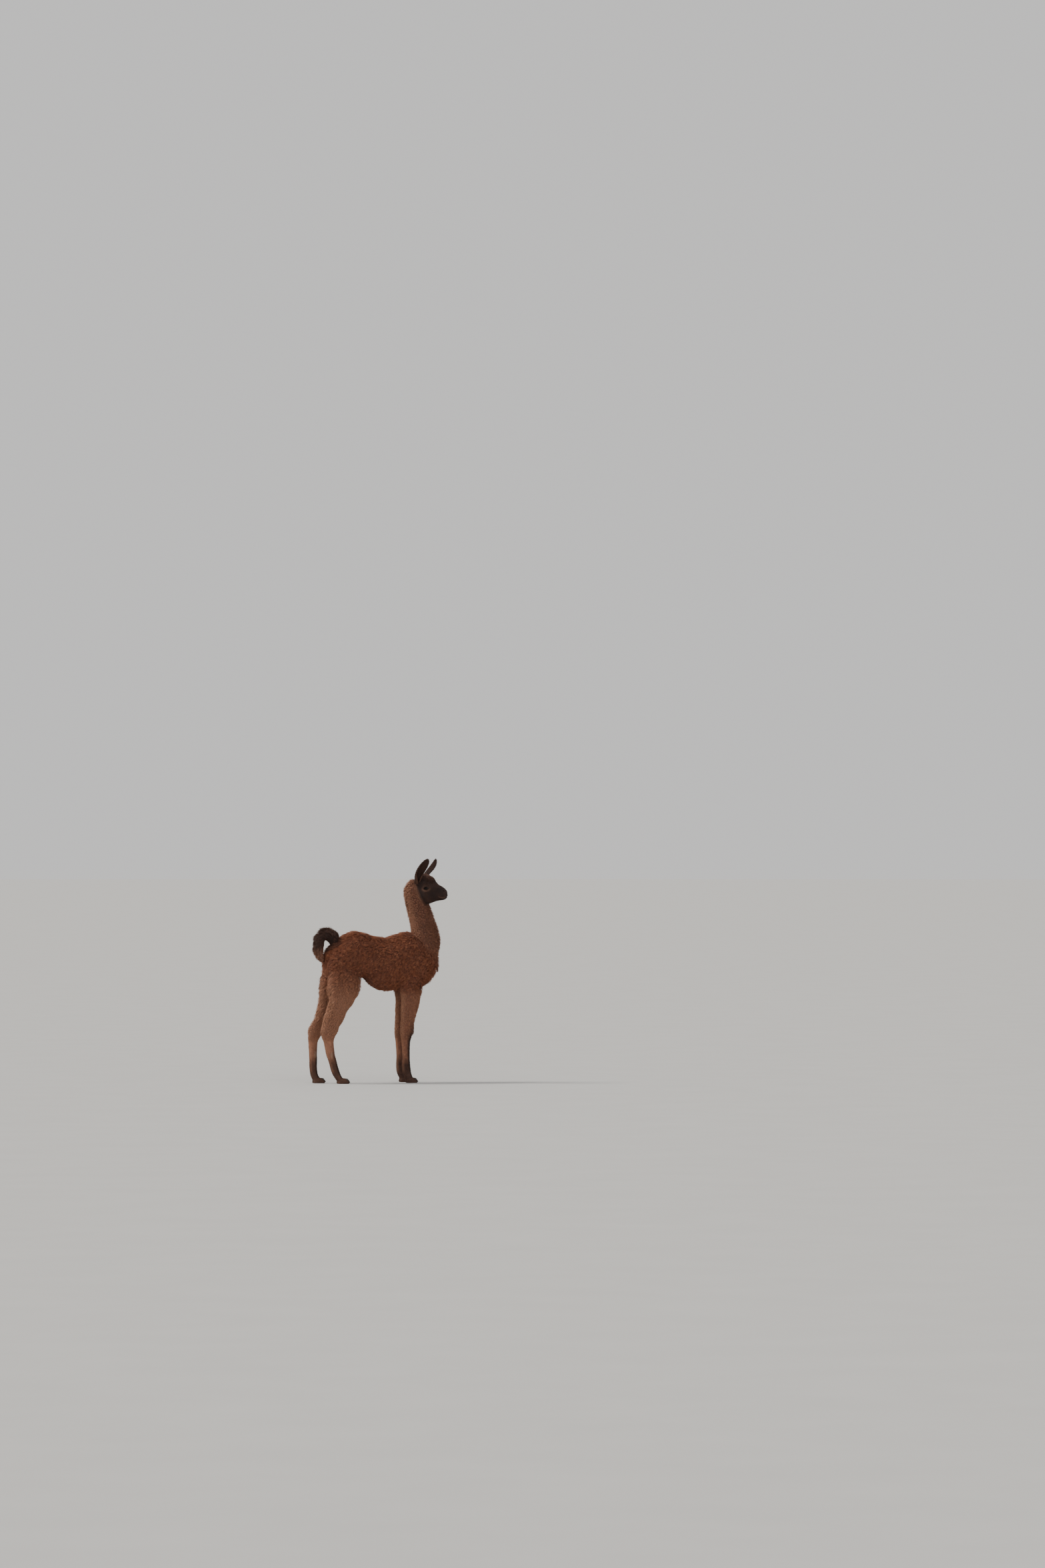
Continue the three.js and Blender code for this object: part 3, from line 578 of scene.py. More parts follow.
def ear_shell(side):
    """A long cupped ear with a rounded rim."""
    steps = 6
    index = np.linspace(0, len(EAR) - 1, (len(EAR) - 1) * steps + 1)
    at = curve_through(EAR)
    rows = at(index)
    mirror = np.array([1, side, 1])
    centre = rows[:, :3] * mirror
    along = unit((at(index + 0.3) - at(index - 0.3))[:, :3] * mirror)
    facing = ear_facing(side)
    facing = unit(facing - along * (along @ facing)[:, None])
    across = np.cross(along, facing)
    start = np.radians(rows[:, 5])[:, None]
    turn = np.linspace(0, 1, 21)
    angles = start + (2 * math.pi - 2 * start) * turn
    thick = EAR_THICKNESS * np.minimum(1, rows[:, 3:4] / 14)

    def arc(inset):
        deep = (rows[:, 4:5] - inset) * np.cos(angles)
        wide = (rows[:, 3:4] - inset) * np.sin(angles)
        return centre[:, None] + facing[:, None] * deep[..., None] + across[:, None] * wide[..., None]

    rounding = 0.3 + 0.7 * np.minimum(1, np.minimum(turn, 1 - turn) / 0.09) ** 0.5
    outer = arc(thick * (1 - rounding) / 2)
    inner = arc(thick * (1 + rounding) / 2)[:, ::-1]
    rings = from_head(np.concatenate([outer, inner], 1))
    count, sides = rings.shape[:2]
    faces = ring_faces(count, sides)
    for ring, turned in ((0, True), (count - 1, False)):
        for place in range(sides // 2 - 1):
            quad = [place, place + 1, sides - 2 - place, sides - 1 - place]
            quad = [ring * sides + corner for corner in quad]
            faces.append(tuple(quad[::-1] if turned else quad))
    return rings.reshape(-1, 3), faces


def build_skin():
    """The whole body in one surface, without the ears."""
    shells = [
        loft(TORSO, 0.86, trunk_section, 48, 5),
        loft(NECK, 0.92, upright(INSETS["neck"]), 40, 5),
        loft(HEAD, 0.88, skull_section, 48, 6),
        loft(TAIL, 0.95, tail_section, 24, 5),
    ]
    for (end, hand), table in LEG_TABLES.items():
        shells.append(loft(table, 0.9, upright(INSETS[end], SPREADS[end], SIDES[hand]), 32, 4))
    for end, _, _, centre in toe_centres():
        shells.append(toe_shell(centre, (SOLES[end] / 2 - 1.5, TOE_WIDTH / 2 - 0.5, 21)))
        pad = centre + np.array([SOLES[end] / 2 - 7, 0, -2])
        shells.append(toe_shell(pad, (13, TOE_WIDTH / 2 - 2.5, 11.5)))
    mesh = fuse(*join_shells(shells))
    write_points(mesh, relax(read_points(mesh), read_edges(mesh), BODY_PASSES))
    refine_head(mesh)
    points, edges = read_points(mesh), read_edges(mesh)
    local = to_head(points)
    keep = 1 - fade(30, 40, local[:, 0]) * fade(-90, -80, local[:, 2])
    points = relax(points, edges, HEAD_PASSES, keep)
    points = carve_head(round_muzzle(points, edges))
    points[:, 2] = np.maximum(points[:, 2], 0)
    write_points(mesh, points)
    return mesh


def tail_place(points):
    """The nearest place on the tail's centreline, and how far off it is in radii."""
    index = np.linspace(0, len(TAIL) - 1, 101)
    best, far = np.zeros(len(points)), np.full(len(points), 1e9)
    for place, (x, z, tall, _) in zip(index, tail_line(index)):
        away = np.sqrt((points[:, 0] - x) ** 2 + points[:, 1] ** 2 + (points[:, 2] - z) ** 2) / max(tall, 8)
        closer = away < far
        best = np.where(closer, place, best)
        far = np.where(closer, away, far)
    return best, far


class Spots:
    """Places on the skin with their normals, and how much of each kind of coat grows there."""

    def __init__(self, points, normals):
        self.points, self.normals = points, normals
        self.x, self.y, self.z = points.T
        self.rearward = -normals[:, 0]
        self.local = to_head(points)
        self.ahead, self.up = self.local[:, 0], self.local[:, 2]
        self.lateral = np.abs(self.local[:, 1])
        self.off_lids, self.above_lids = eye_distance(self.local)
        self.past_jaw = JAW_SLOPE[0] * self.ahead + JAW_SLOPE[1] * self.up - JAW_OFFSET
        self.tail_index, tail_gap = tail_place(points)

        x, z, ahead, up = self.x, self.z, self.ahead, self.up
        under_jaw = up - 0.17 * (ahead - 8) + 84
        head = fade(-9, 9, self.past_jaw) * fade(-6, 8, under_jaw) * (x > 180)
        neck_base = np.array([276, 0, 729])
        slope = np.array([math.sin(math.pi / 4), 0, math.cos(math.pi / 4)])
        neck = fade(-45, 30, (points - neck_base) @ slope) * (x > 120) * (1 - head)
        tail = fade(0.5, 1.6, self.tail_index) * (tail_gap < 1.5) * (x < -165) * (z > 630)
        fore = (x > 60) * fade(*ELBOW, z)
        leg = np.maximum(fore, (x < -40) * fade(*STIFLE, z) * (1 - tail))
        low, foot = fade(*KNEE, z), fade(*FETLOCK, z)
        crown = head * fade(8, 28, ahead) * (1 - fade(96, 112, ahead))
        crown = crown * fade(0.35, 0.75, normals[:, 2]) * (up > 25)
        self.face, self.crown, self.neck, self.tail = head * (1 - crown), crown, neck * (1 - leg), tail
        self.leg, self.shin, self.foot = leg * (1 - low), leg * low * (1 - foot), leg * foot
        others = (self.face, self.crown, self.neck, self.tail, self.leg, self.shin, self.foot)
        self.torso = np.clip(1 - sum(others), 0, 1)


def ripple(points, scale, key):
    """Smooth seeded noise, mostly between -1 and 1, about scale millimetres from wave to wave."""
    waves, height = 7, 3.2
    source = np.random.default_rng(key)
    total = np.zeros(len(points))
    for _ in range(waves):
        way = unit(source.normal(size=3)) * (2 * math.pi / scale) * source.uniform(0.6, 1.5)
        total += np.sin(points @ way + source.uniform(0, 2 * math.pi))
    return total / height


def markings(at):
    """Masks for the dark, pale, rust and gland parts of the coat, the same on skin and tufts; the pale one
    also holds painted light on rear-facing sides.
    """
    whole_leg = at.leg + at.shin + at.foot
    top = np.where(at.x > 0, SHIN_TOPS["fore"], SHIN_TOPS["hind"])
    shin_front = fade(top, top - SHIN_FADE, at.z) * fade(-0.3, 0.5, -at.rearward)
    dark_leg = np.maximum(0.97 * shin_front, 0.82 * fade(*DARK_FOOT, at.z))
    veil = fade(-20, 14, at.past_jaw) * fade(-100, -68, at.up) * (at.face + at.crown + at.neck)
    hanging = at.tail * fade(5.5, 8.5, at.tail_index)
    dark = 0.95 * veil - at.crown * 0.22 + at.neck * 0.06
    dark = dark + at.tail * 0.88 - 0.6 * hanging + whole_leg * dark_leg

    # Painted light on the neck: its rear-facing side is paler, as if lit from behind, over an even pale
    # tone of the whole neck
    neck_pale_and_painted_light = at.neck * (fade(0.1, 0.95, at.rearward) * 0.55 + 0.24)
    # Painted light: the rear-facing sides of the legs and of the lower rear trunk are paler, as if lit from
    # behind; the legs and haunches are then made paler all round, which is their own colour
    rear = fade(640, 560, at.z) * (at.x < -60) * at.torso
    fringe = (at.leg + at.shin * 0.6 + rear) * fade(0.3, 0.9, at.rearward) * 0.5
    haunch = fade(640, 500, at.z) * (at.x < -60) * (1 - at.tail)
    fringe = fringe + (whole_leg * 0.22 + at.leg * 0.16 + 0.3 * haunch) * (1 - dark_leg)
    ring = at.face * (at.lateral > 20) * bell(at.off_lids - 7, 5) * (0.05 + 0.1 * (at.above_lids < 0))
    mouth = line_distance(at.local[:, [0, 2]], MOUTH_LINE)
    lips = at.face * fade(130, 145, at.ahead) * fade(8, 14, at.lateral)
    lips = lips * bell(np.abs(mouth) - 2.6, 1.4) * np.where(mouth < 0, 0.2, 0.09)
    # Painted light: the tail's rear-facing side is a little paler; its hanging end is paler too
    brush = at.tail * fade(0.2, 0.9, at.rearward) * 0.06 + 0.42 * hanging
    pale = neck_pale_and_painted_light + fringe + ring + lips + brush

    gland = np.zeros(len(at.points))
    for place, side in GLANDS:
        reach = ((at.x - place) / GLAND_LENGTH) ** 2 + ((at.z - GLAND_HEIGHT) / GLAND_TALL) ** 2
        gland += bell(reach, 1) * (at.y * side > 0) * (np.abs(at.normals[:, 1]) > 0.5)
    dark = dark * (1 - 0.9 * gland)

    rust = at.torso * 0.95 + at.leg * 0.72 + at.shin * 0.55 + at.neck * 0.3
    rust = rust + at.face * 0.08 + at.tail * 0.25
    mottle = 0.05 * ripple(at.points, 60, 3)
    masks = [dark + mottle * (dark > 0.02), pale, rust + 2 * mottle, gland]
    return np.clip(np.stack(masks, -1), 0, 1) * np.array([1, 1, 1, 0.45])


def add_colours(mesh, name, values):
    layer = mesh.attributes.new(name, "FLOAT_COLOR", "POINT")
    layer.data.foreach_set("color", np.asarray(values, np.float32).ravel())


def along_surface(vectors, normals):
    return vectors - normals * np.sum(vectors * normals, 1)[:, None]


def lie_of_coat(at):
    """The way the tips point, along the surface."""
    down = np.array([-0.1, 0.0, -1.0])
    ways = {
        "torso": np.array([-0.78, 0.0, -0.62]),
        "neck": np.array([-0.2, 0.0, -1.0]),
        "face": np.array([-1, 0, -0.25]) @ HEAD_AXES.T,
        "crown": np.array([-0.8, 0, 0.2]) @ HEAD_AXES.T,
        "leg": down,
        "shin": down,
        "foot": np.array([0.25, 0.0, -1.0]),
    }
    total = sum(getattr(at, zone)[:, None] * way for zone, way in ways.items())
    along, _ = tail_way(at.tail_index)
    total = total + at.tail[:, None] * along
    total = total + np.cross(at.normals, total) * (0.35 * ripple(at.points, 55, 5))[:, None]
    return unit(along_surface(total, at.normals))


def tree_of(points):
    """A tree that finds the nearest of the points."""
    tree = KDTree(len(points))
    for order, point in enumerate(points):
        tree.insert(point, order)
    tree.balance()
    return tree


def scatter(mesh, chosen, cell):
    """Even random roots on the chosen triangles: places and normals."""
    darts_per_cell, clearance = 4, 0.645
    mesh.calc_loop_triangles()
    corners = read(mesh.loop_triangles, "vertices", 3, np.int64)
    points, normals = read_points(mesh), read_normals(mesh)
    corners = corners[chosen(points[corners].mean(1), unit(normals[corners].mean(1)))]
    a, b, c = (points[corners[:, k]] for k in range(3))
    area = 0.5 * np.linalg.norm(np.cross(b - a, c - a), axis=1)
    total = np.cumsum(area)
    count = int(darts_per_cell * total[-1] / cell**2)
    face = np.searchsorted(total, rng.random(count) * total[-1])
    u, v = rng.random(count), rng.random(count)
    flip = u + v > 1
    u, v = np.where(flip, 1 - u, u), np.where(flip, 1 - v, v)
    blend = np.stack([1 - u - v, u, v], -1)[..., None]
    places = (points[corners[face]] * blend).sum(1)
    ways = unit((normals[corners[face]] * blend).sum(1))
    tree = tree_of(places)
    kept = [True] * count
    for order, place in enumerate(places):
        if kept[order]:
            for _, other, _ in tree.find_range(place, clearance * cell):
                kept[other] = other == order
    return places[kept], ways[kept]


def clumped(places, tips, size, share):
    """Draws the tips of neighbours together into locks."""
    _, seeds = np.unique(np.floor(places / size).astype(np.int64), axis=0, return_index=True)
    tree = tree_of(places[seeds])
    nearest = np.array([seeds[tree.find(place)[1]] for place in places])
    pull = (places[nearest] + tips[nearest] - places) - tips
    return tips + pull * share[:, None]


def tuft_faces(rings):
    """Triangles of one three-sided tuft: its foot, its sides and its point."""
    faces = [(0, 2, 1)]
    for ring in range(rings - 1):
        for side in range(3):
            a, b = ring * 3 + side, ring * 3 + (side + 1) % 3
            faces += [(a, b, b + 3), (a, b + 3, a + 3)]
    start = 3 * (rings - 1)
    faces += [(start + side, start + (side + 1) % 3, 3 * rings) for side in range(3)]
    return np.array(faces)


def tuft_shapes(rings, places, normals, tips, width, curl):
    """Points of the tufts, and how far along its tuft each lies. They rise and bend over along the lie."""
    count = len(places)
    forward = along_surface(tips, normals)
    rise = np.sum(tips * normals, 1)
    across = unit(np.cross(normals, forward))
    phase = rng.uniform(0, 2 * math.pi, count)
    spin = rng.choice([-1.0, 1.0], count)
    rows, heights = [], []
    for t in np.linspace(0, 1, rings + 1):
        wave = curl * np.sin(4.2 * t + phase) * t
        twirl = curl * (np.cos(4.2 * t + phase) - np.cos(phase)) * t * 0.6
        centre = places + forward * t + normals * (rise * (1 - (1 - t) ** 2) - 1.2 * (1 - t))[:, None]
        centre = centre + across * (spin * wave)[:, None] + normals * twirl[:, None]
        half = (width / 2 * (0.75 + 1.1 * t - 1.25 * t**2))[:, None]
        ring = [centre - across * half, centre + across * half, centre + normals * half * 0.8]
        ring = ring if t < 1 else [centre]
        rows.append(np.stack(ring, 1))
        heights.append(np.full((count, len(ring)), t))
    points = np.concatenate(rows, 1)
    points[..., 2] = np.maximum(points[..., 2], FLOOR_GAP)
    return points, np.concatenate(heights, 1)


def tuft_piece(name, slot, rings, places, normals, tips, width, curl, sheet, marks):
    """A joined mesh of tufts, with its colours and its unwrap."""
    points, heights = tuft_shapes(rings, places, normals, tips, width, curl)
    count, size = heights.shape
    faces = (tuft_faces(rings)[None] + size * np.arange(count)[:, None, None]).reshape(-1, 3)
    mesh = bpy.data.meshes.new(name)
    mesh.vertices.add(size * count)
    write_points(mesh, to_row(points.reshape(-1, 3)))
    mesh.loops.add(3 * len(faces))
    mesh.loops.foreach_set("vertex_index", faces.ravel().astype(np.int32))
    mesh.polygons.add(len(faces))
    mesh.polygons.foreach_set("loop_start", np.arange(0, 3 * len(faces), 3, dtype=np.int32))
    mesh.polygons.foreach_set("use_smooth", np.ones(len(faces), bool))
    mesh.update(calc_edges=True)

    # Short tufts get less of the painted shade at their roots
    lift = np.clip(1 - np.linalg.norm(tips, axis=1) / 14, 0, 0.5)[:, None]
    along = lift + (1 - lift) * heights
    shade = np.repeat(rng.random((count, 1)), size, 1)
    hue = np.repeat(rng.random((count, 1)), size, 1)
    add_colours(mesh, "strand", np.stack([shade, along, hue, np.ones_like(along)], -1).reshape(-1, 4))
    add_colours(mesh, "marks", np.repeat(marks, size, 0))
    sideways = np.tile([-1, 1, 0], rings).tolist() + [0]
    u = np.clip(sheet[:, :1], 0.002, 0.998) + 0.0015 * np.array(sideways)
    v = np.clip(sheet[:, 1:], 0.002, 0.998) + 0.003 * (heights - 0.5)
    layer = mesh.uv_layers.new(name="OFBake")
    corner_uv = np.stack([u, v], -1).reshape(-1, 2)[faces.ravel()]
    layer.data.foreach_set("uv", corner_uv.astype(np.float32).ravel())
    return finish_piece(mesh, COAT)


def finish_piece(mesh, material):
    piece = add_object(mesh.name, mesh)
    mesh.materials.append(material)
    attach(piece, "root")
    return piece


def grow(name, slot, zones, cell, rings, pieces, sheet_of, size=0, share=0.0):
    """Tufts over part of the skin, in pieces that follow one another along it."""
    at = Spots(*scatter(flesh, zone_chooser(zones), cell * COARSE))
    count = len(at.points)
    run, rise, width, curl = (
        sum(getattr(at, zone) * GROWTH[zone][column] for zone in GROWTH) for column in range(4)
    )
    longer = 1 + 0.22 * ripple(at.points, 38, 11) + rng.uniform(-0.16, 0.16, count)

    # Where the coat is shorter or finer: by the eyes, inside the tail's arch, at its end, on the muzzle
    by_eye = at.face * (at.lateral > 20) * (1 - fade(0, 12, at.off_lids))
    _, out = tail_way(at.tail_index)
    inner = at.tail * fade(0.1, -0.6, np.sum(at.normals * out, 1))
    tail_end = fade(7, 9.5, at.tail_index) * at.tail
    blunt = at.face * fade(145, 172, at.ahead)
    by_face = fade(-22, 6, at.past_jaw) * fade(-92, -72, at.up) * at.neck

    # Where it is longer or fluffier: down the backs of the thighs, on the chest, behind the elbows
    thigh = fade(640, 560, at.z) * (at.x < -60) * fade(290, 390, at.z)
    thigh = (at.leg + 0.5 * at.torso) * thigh * fade(0.1, 0.7, at.rearward)
    chest = at.torso * fade(270, 330, at.x)
    elbow = at.leg * (at.x > 60) * fade(0.4, 0.9, at.rearward) * 0.5
    fringe = chest * fade(700, 600, at.z) + 1.4 * thigh + elbow

    run = run * (1 - 0.5 * by_eye) * (1 - 0.5 * inner) * (1 - 0.5 * tail_end) * (1 - 0.45 * blunt)
    width = width * (1 - 0.4 * by_eye) * (1 - 0.2 * blunt)
    rise = rise * (1 - 0.6 * by_eye) * (1 - 0.85 * inner) * rng.uniform(0.75, 1.15, count)
    rise = rise * (1 + 1.6 * thigh + 0.35 * chest) * (1 - 0.6 * by_face)
    rise = rise * (1 - 0.5 * fade(7, 10, at.tail_index) * at.tail)
    reach = run * longer * (1 + 0.5 * fringe)
    tips = lie_of_coat(at) * reach[:, None] + at.normals * rise[:, None]
    width = width * rng.uniform(0.8, 1.2, count)
    if share:
        held = share * rng.uniform(0.2, 1.2, count)
        loose = rng.random(count) < 0.1
        tips = clumped(at.points, tips, size, np.where(loose, 0.05, held))
        tips = tips + at.normals * np.where(loose, 0.25 * rise, 0.0)[:, None]
        width = np.where(loose, 0.6, 1.0) * width

    marks = markings(at)
    sheet, order = sheet_of(at)
    for number, chunk in enumerate(np.array_split(np.argsort(order, kind="stable"), pieces)):
        flat = sheet[chunk]
        low, high = flat[:, 1].min(), flat[:, 1].max()
        flat = np.stack([flat[:, 0], (flat[:, 1] - low) / max(high - low, 1e-6)], -1)
        label = f"coat_{name}_{number + 1}" if pieces > 1 else f"coat_{name}"
        shape = (part[chunk] for part in (at.points, at.normals, tips, width, curl))
        tuft_piece(label, slot, rings, *shape, flat, marks[chunk])


def zone_chooser(zones):
    """Chooses the places where these zones are strongest, off the eyes, the nostrils and the soles."""

    def chosen(places, normals):
        at = Spots(places, normals)
        shares = {group: sum(getattr(at, zone) for zone in group) for group in ZONE_GROUPS}
        mine = shares.pop(zones)
        bald = (at.lateral > 22) & (at.off_lids < 1.2)
        bald |= nostril_distance(at.local) < 1.25
        bald |= (at.z < 1.5) & (normals[:, 2] < -0.3)
        bald |= (at.z < 9) & (normals[:, 2] < -0.75)
        return (mine >= np.maximum.reduce(list(shares.values()))) & (mine > 0) & ~bald

    return chosen


def turn_share(angle):
    return angle / (2 * math.pi) + 0.5


def round_sheet(angle, along):
    """An unwrap round a length of the body: the angle round it, and the place along it."""
    return np.stack([turn_share(angle), np.clip(along, 0, 1)], -1), along


def torso_sheet(at):
    return round_sheet(np.arctan2(at.z - TRUNK_MIDDLE, at.y), (at.x - TRUNK_START) / TRUNK_LENGTH)


def middle_line(table, z):
    """The middle of the neck or of a leg at a height."""
    stations = np.array(sorted(table), float)
    return np.interp(z, stations[:, 0], stations[:, 1:3].mean(1))


def neck_sheet(at):
    angle = np.arctan2(at.y, at.x - middle_line(NECK, at.z))
    return round_sheet(angle, (at.z - NECK_START) / NECK_RISE)


def head_sheet(at):
    return round_sheet(np.arctan2(at.up, at.local[:, 1]), (at.ahead - HEAD_START) / HEAD_LENGTH)


def tail_sheet(at):
    x, z, _, _ = tail_line(at.tail_index).T
    _, out = tail_way(at.tail_index)
    away = at.points - np.stack([x, 0 * x, z], -1)
    return round_sheet(np.arctan2(np.sum(away * out, 1), at.y), at.tail_index / (len(TAIL) - 1))


def leg_sheet(at):
    """Four strips side by side, one for each leg."""
    fore, left = at.x > 0, at.y > 0
    centre = np.zeros(len(at.points))
    for (end, hand), table in LEG_TABLES.items():
        mine = (fore == (end == "fore")) & (left == (hand == "left"))
        centre = np.where(mine, middle_line(table, at.z), centre)
    spread = np.where(fore, SPREADS["fore"], SPREADS["hind"]) * np.where(left, 1, -1)
    angle = turn_share(np.arctan2(at.y - spread, at.x - centre))
    along = at.z / LEG_RISE
    return np.stack([(2 * fore + left + 0.02 + 0.96 * angle) / 4, along], -1), along


def grow_ears(ears):
    """Short hair on both sides of the two ears, longer along their edges, in one piece."""
    steps, spacing = 60, 2.1
    grown = []
    for side, points, faces in ears:
        mesh = new_mesh("ear_roots", points, faces)
        smooth(mesh)
        roots, ways = scatter(mesh, lambda places, _: to_head(places)[:, 2] > EAR_FOOT, spacing * COARSE)
        bpy.data.meshes.remove(mesh)
        local = to_head(roots)
        line = curve_through(EAR)(np.linspace(0, len(EAR) - 1, steps))[:, :3] * np.array([1, side, 1])
        nearest = np.argmin(((local[:, None] - line[None]) ** 2).sum(-1), 1)
        course = unit(np.gradient(line, axis=0))[nearest] @ HEAD_AXES.T
        lie = unit(along_surface(course, ways))
        outer = np.sum((roots - from_head(line[nearest])) * ways, 1) > 0
        length = np.where(outer, 6.5, 9.0) * rng.uniform(0.8, 1.25, len(roots))
        rise = np.where(outer, 1.8, 3.2) * rng.uniform(0.7, 1.2, len(roots))
        edge = fade(1.0, 6.0, (local - line[nearest]) @ ear_facing(side))
        tips = lie * (length + 3 * edge)[:, None] + ways * rise[:, None]
        width = np.where(outer, 1.3, 1.2)
        turn = turn_share(np.arctan2(ways @ HEAD_AXES[:, 1], ways @ HEAD_AXES[:, 0]))
        sheet = np.stack([(0.04 + 0.92 * turn + (side > 0)) / 2, nearest / steps], -1)
        dark = np.where(outer, 0.93, 0.9) - 0.12 * edge
        pale = 0.02 * ~outer + 0.12 * edge
        marks = np.stack([dark, pale, 0 * dark + 0.1, 0 * dark], -1)
        grown.append((roots, ways, tips, width, 0.2 + 0 * width, sheet, marks))
    tuft_piece("coat_ears", "coat_face", 2, *(np.concatenate(parts) for parts in zip(*grown)))


def finish_skin(ears):
    """The skin with its ears, as one piece in the place of all the flesh."""
    ear_marks = [0.9, 0.05, 0.1, 0.0]
    at = Spots(read_points(flesh), read_normals(flesh))
    marks = markings(at)
    lid_edge = (at.lateral > 22) & (at.off_lids < 2.2) & (at.off_lids > -6)
    marks[:, 0] = np.where(lid_edge | (nostril_distance(at.local) < 1.2), 1.0, marks[:, 0])
    marks[:, 1] = np.where(lid_edge, 0.0, marks[:, 1])
    marks, shells = [marks], [(at.points, [tuple(face.vertices) for face in flesh.polygons])]
    for _, points, faces in ears:
        shells.append((points, faces))
        marks.append(np.tile(ear_marks, (len(points), 1)))
    points, faces = join_shells(shells)
    mesh = new_mesh("skin", to_row(points), faces)
    add_colours(mesh, "marks", np.concatenate(marks))
    smooth(mesh)
    piece = finish_piece(mesh, SKIN)
    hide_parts(*flesh_nodes())


def flesh_nodes():
    names = ["head", "neck", "torso", "tail_root", "tail_arch", "tail_tip"]
    for hand in SIDES:
        names.append(f"ear_{hand}")
        names += [f"fore_{hand}_{part}" for part in ("forearm", "cannon", "foot")]
        names += [f"hind_{hand}_{part}" for part in ("thigh", "gaskin", "cannon", "foot")]
    return names


def smooth(mesh):
    mesh.polygons.foreach_set("use_smooth", np.ones(len(mesh.polygons), bool))
    bm = bmesh.new()
    bm.from_mesh(mesh)
    bmesh.ops.recalc_face_normals(bm, faces=bm.faces)
    bm.to_mesh(mesh)
    bm.free()
    mesh.update()


def make_eyes(material):
    """Two globes that bulge a little at the front, with iris and pupil told apart by angle."""
    polar = np.linspace(0.02, math.pi - 0.02, 40)[:, None]
    turn = around(56)
    bulge = 0.5 * bell(polar, 0.55, 4)
    for hand, side in SIDES.items():
        outward = side * (np.cos(polar) + 0 * turn)
        way = np.stack([np.sin(polar) * np.cos(turn), outward, np.sin(polar) * np.sin(turn)], -1)
        shell, faces = closed_shell(way * (EYE_RADIUS - 0.5 + bulge)[..., None])
        points = from_head(shell + EYE_PLACE * np.array([1, side, 1]))
        mesh = new_mesh(f"eye_globe_{hand}", to_row(points), faces)
        x, y, z = unit(shell).T
        off = np.arccos(np.clip(side * y, -1, 1))
        pupil = np.hypot(x / 0.52, z / 0.3)
        gaze = [np.clip(off / 1.3, 0, 1), np.clip(pupil / 2, 0, 1), 0 * off, 1 + 0 * off]
        add_colours(mesh, "gaze", np.stack(gaze, -1))
        smooth(mesh)
        piece = finish_piece(mesh, material)
        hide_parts(f"eye_{hand}")


def make_nails(material):
    """Eight curved nails that taper and come down to the floor, in one piece."""
    half_width, half_height, lean, top, drop = 7, 6.5, 3, 21, 15
    along = np.linspace(0, 1, 12)[:, None]
    size = 1 - 0.72 * along**1.4
    ridge = 1 + 0.02 * np.cos(along * 40)
    turn = around(20)
    c, s = signed_power(np.cos(turn), 0.8), signed_power(np.sin(turn), 0.8)
    shells, names = [], []
    for end, hand, order, centre in toe_centres():
        base = centre[0] + SOLES[end] / 2 - 9
        x = base + NAIL_LENGTH * along + lean * size * s
        y = centre[1] + half_width * size * c * ridge
        z = top - drop * along**1.5 + half_height * size * s * ridge
        points, faces = closed_shell(np.stack([x, y, z], -1))
        points[:, 2] = np.maximum(points[:, 2], FLOOR_GAP)
        shells.append((points, faces))
        names.append(f"{end}_{hand}_nail_{order + 1}")
    points, faces = join_shells(shells)
    mesh = new_mesh("nails", to_row(points), faces)
    smooth(mesh)
    piece = finish_piece(mesh, material)
    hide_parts(*names)


def make_lashes():
    """Long dark lashes along the upper lid, half a millimetre over its edge."""
    rear, front, per_eye = -11.5, 12.5, 46
    rows = []
    for side in SIDES.values():
        for dx in np.linspace(rear, front, per_eye):
            dz = LID_HEIGHTS[0] * (1 - (dx / LID_HALF) ** 2) + dx / LID_HALF
            y = EYE_PLACE[1] + math.sqrt(max(EYE_RADIUS**2 - (dx**2 + dz**2), 0)) + 1.4
            way = np.array([0.35 + 0.03 * dx, side * 1.0, -0.15 + 0.2 * rng.random()])
            tip = unit(way) * rng.uniform(5.5, 9.0)
            rows.append(([EYE_PLACE[0] + dx, side * y, EYE_PLACE[2] + dz], [0, side * 0.6, 0.8], tip))
    places, normals, tips = (np.array(part) for part in zip(*rows))
    count = len(rows)
    marks = np.tile([1.0, 0.0, 0.0, 0.0], (count, 1))
    sheet = np.stack([np.linspace(0.05, 0.95, count), np.full(count, 0.5)], -1)
    shape = (from_head(places), unit(normals) @ HEAD_AXES.T, tips @ HEAD_AXES.T)
    tuft_piece("lashes", "coat_face", 3, *shape, np.full(count, 0.7), np.full(count, 0.1), sheet, marks)


def rgb(red, green, blue):
    """A screen colour as the linear one that the shaders take."""
    values = np.array([red, green, blue]) / 255
    values = np.where(values <= 0.04045, values / 12.92, ((values + 0.055) / 1.055) ** 2.4)
    return (*values.tolist(), 1.0)


GREY_BROWN = rgb(150, 104, 91)
RUST_BROWN = rgb(150, 83, 56)
NEAR_BLACK = rgb(43, 26, 21)
PALE_TAN = rgb(208, 154, 124)
GLAND_TAN = rgb(196, 176, 152)
CLOUD_BROWN = rgb(92, 58, 42)
WOOL_LIGHT, WOOL_DEEP = rgb(214, 146, 104), rgb(60, 34, 25)
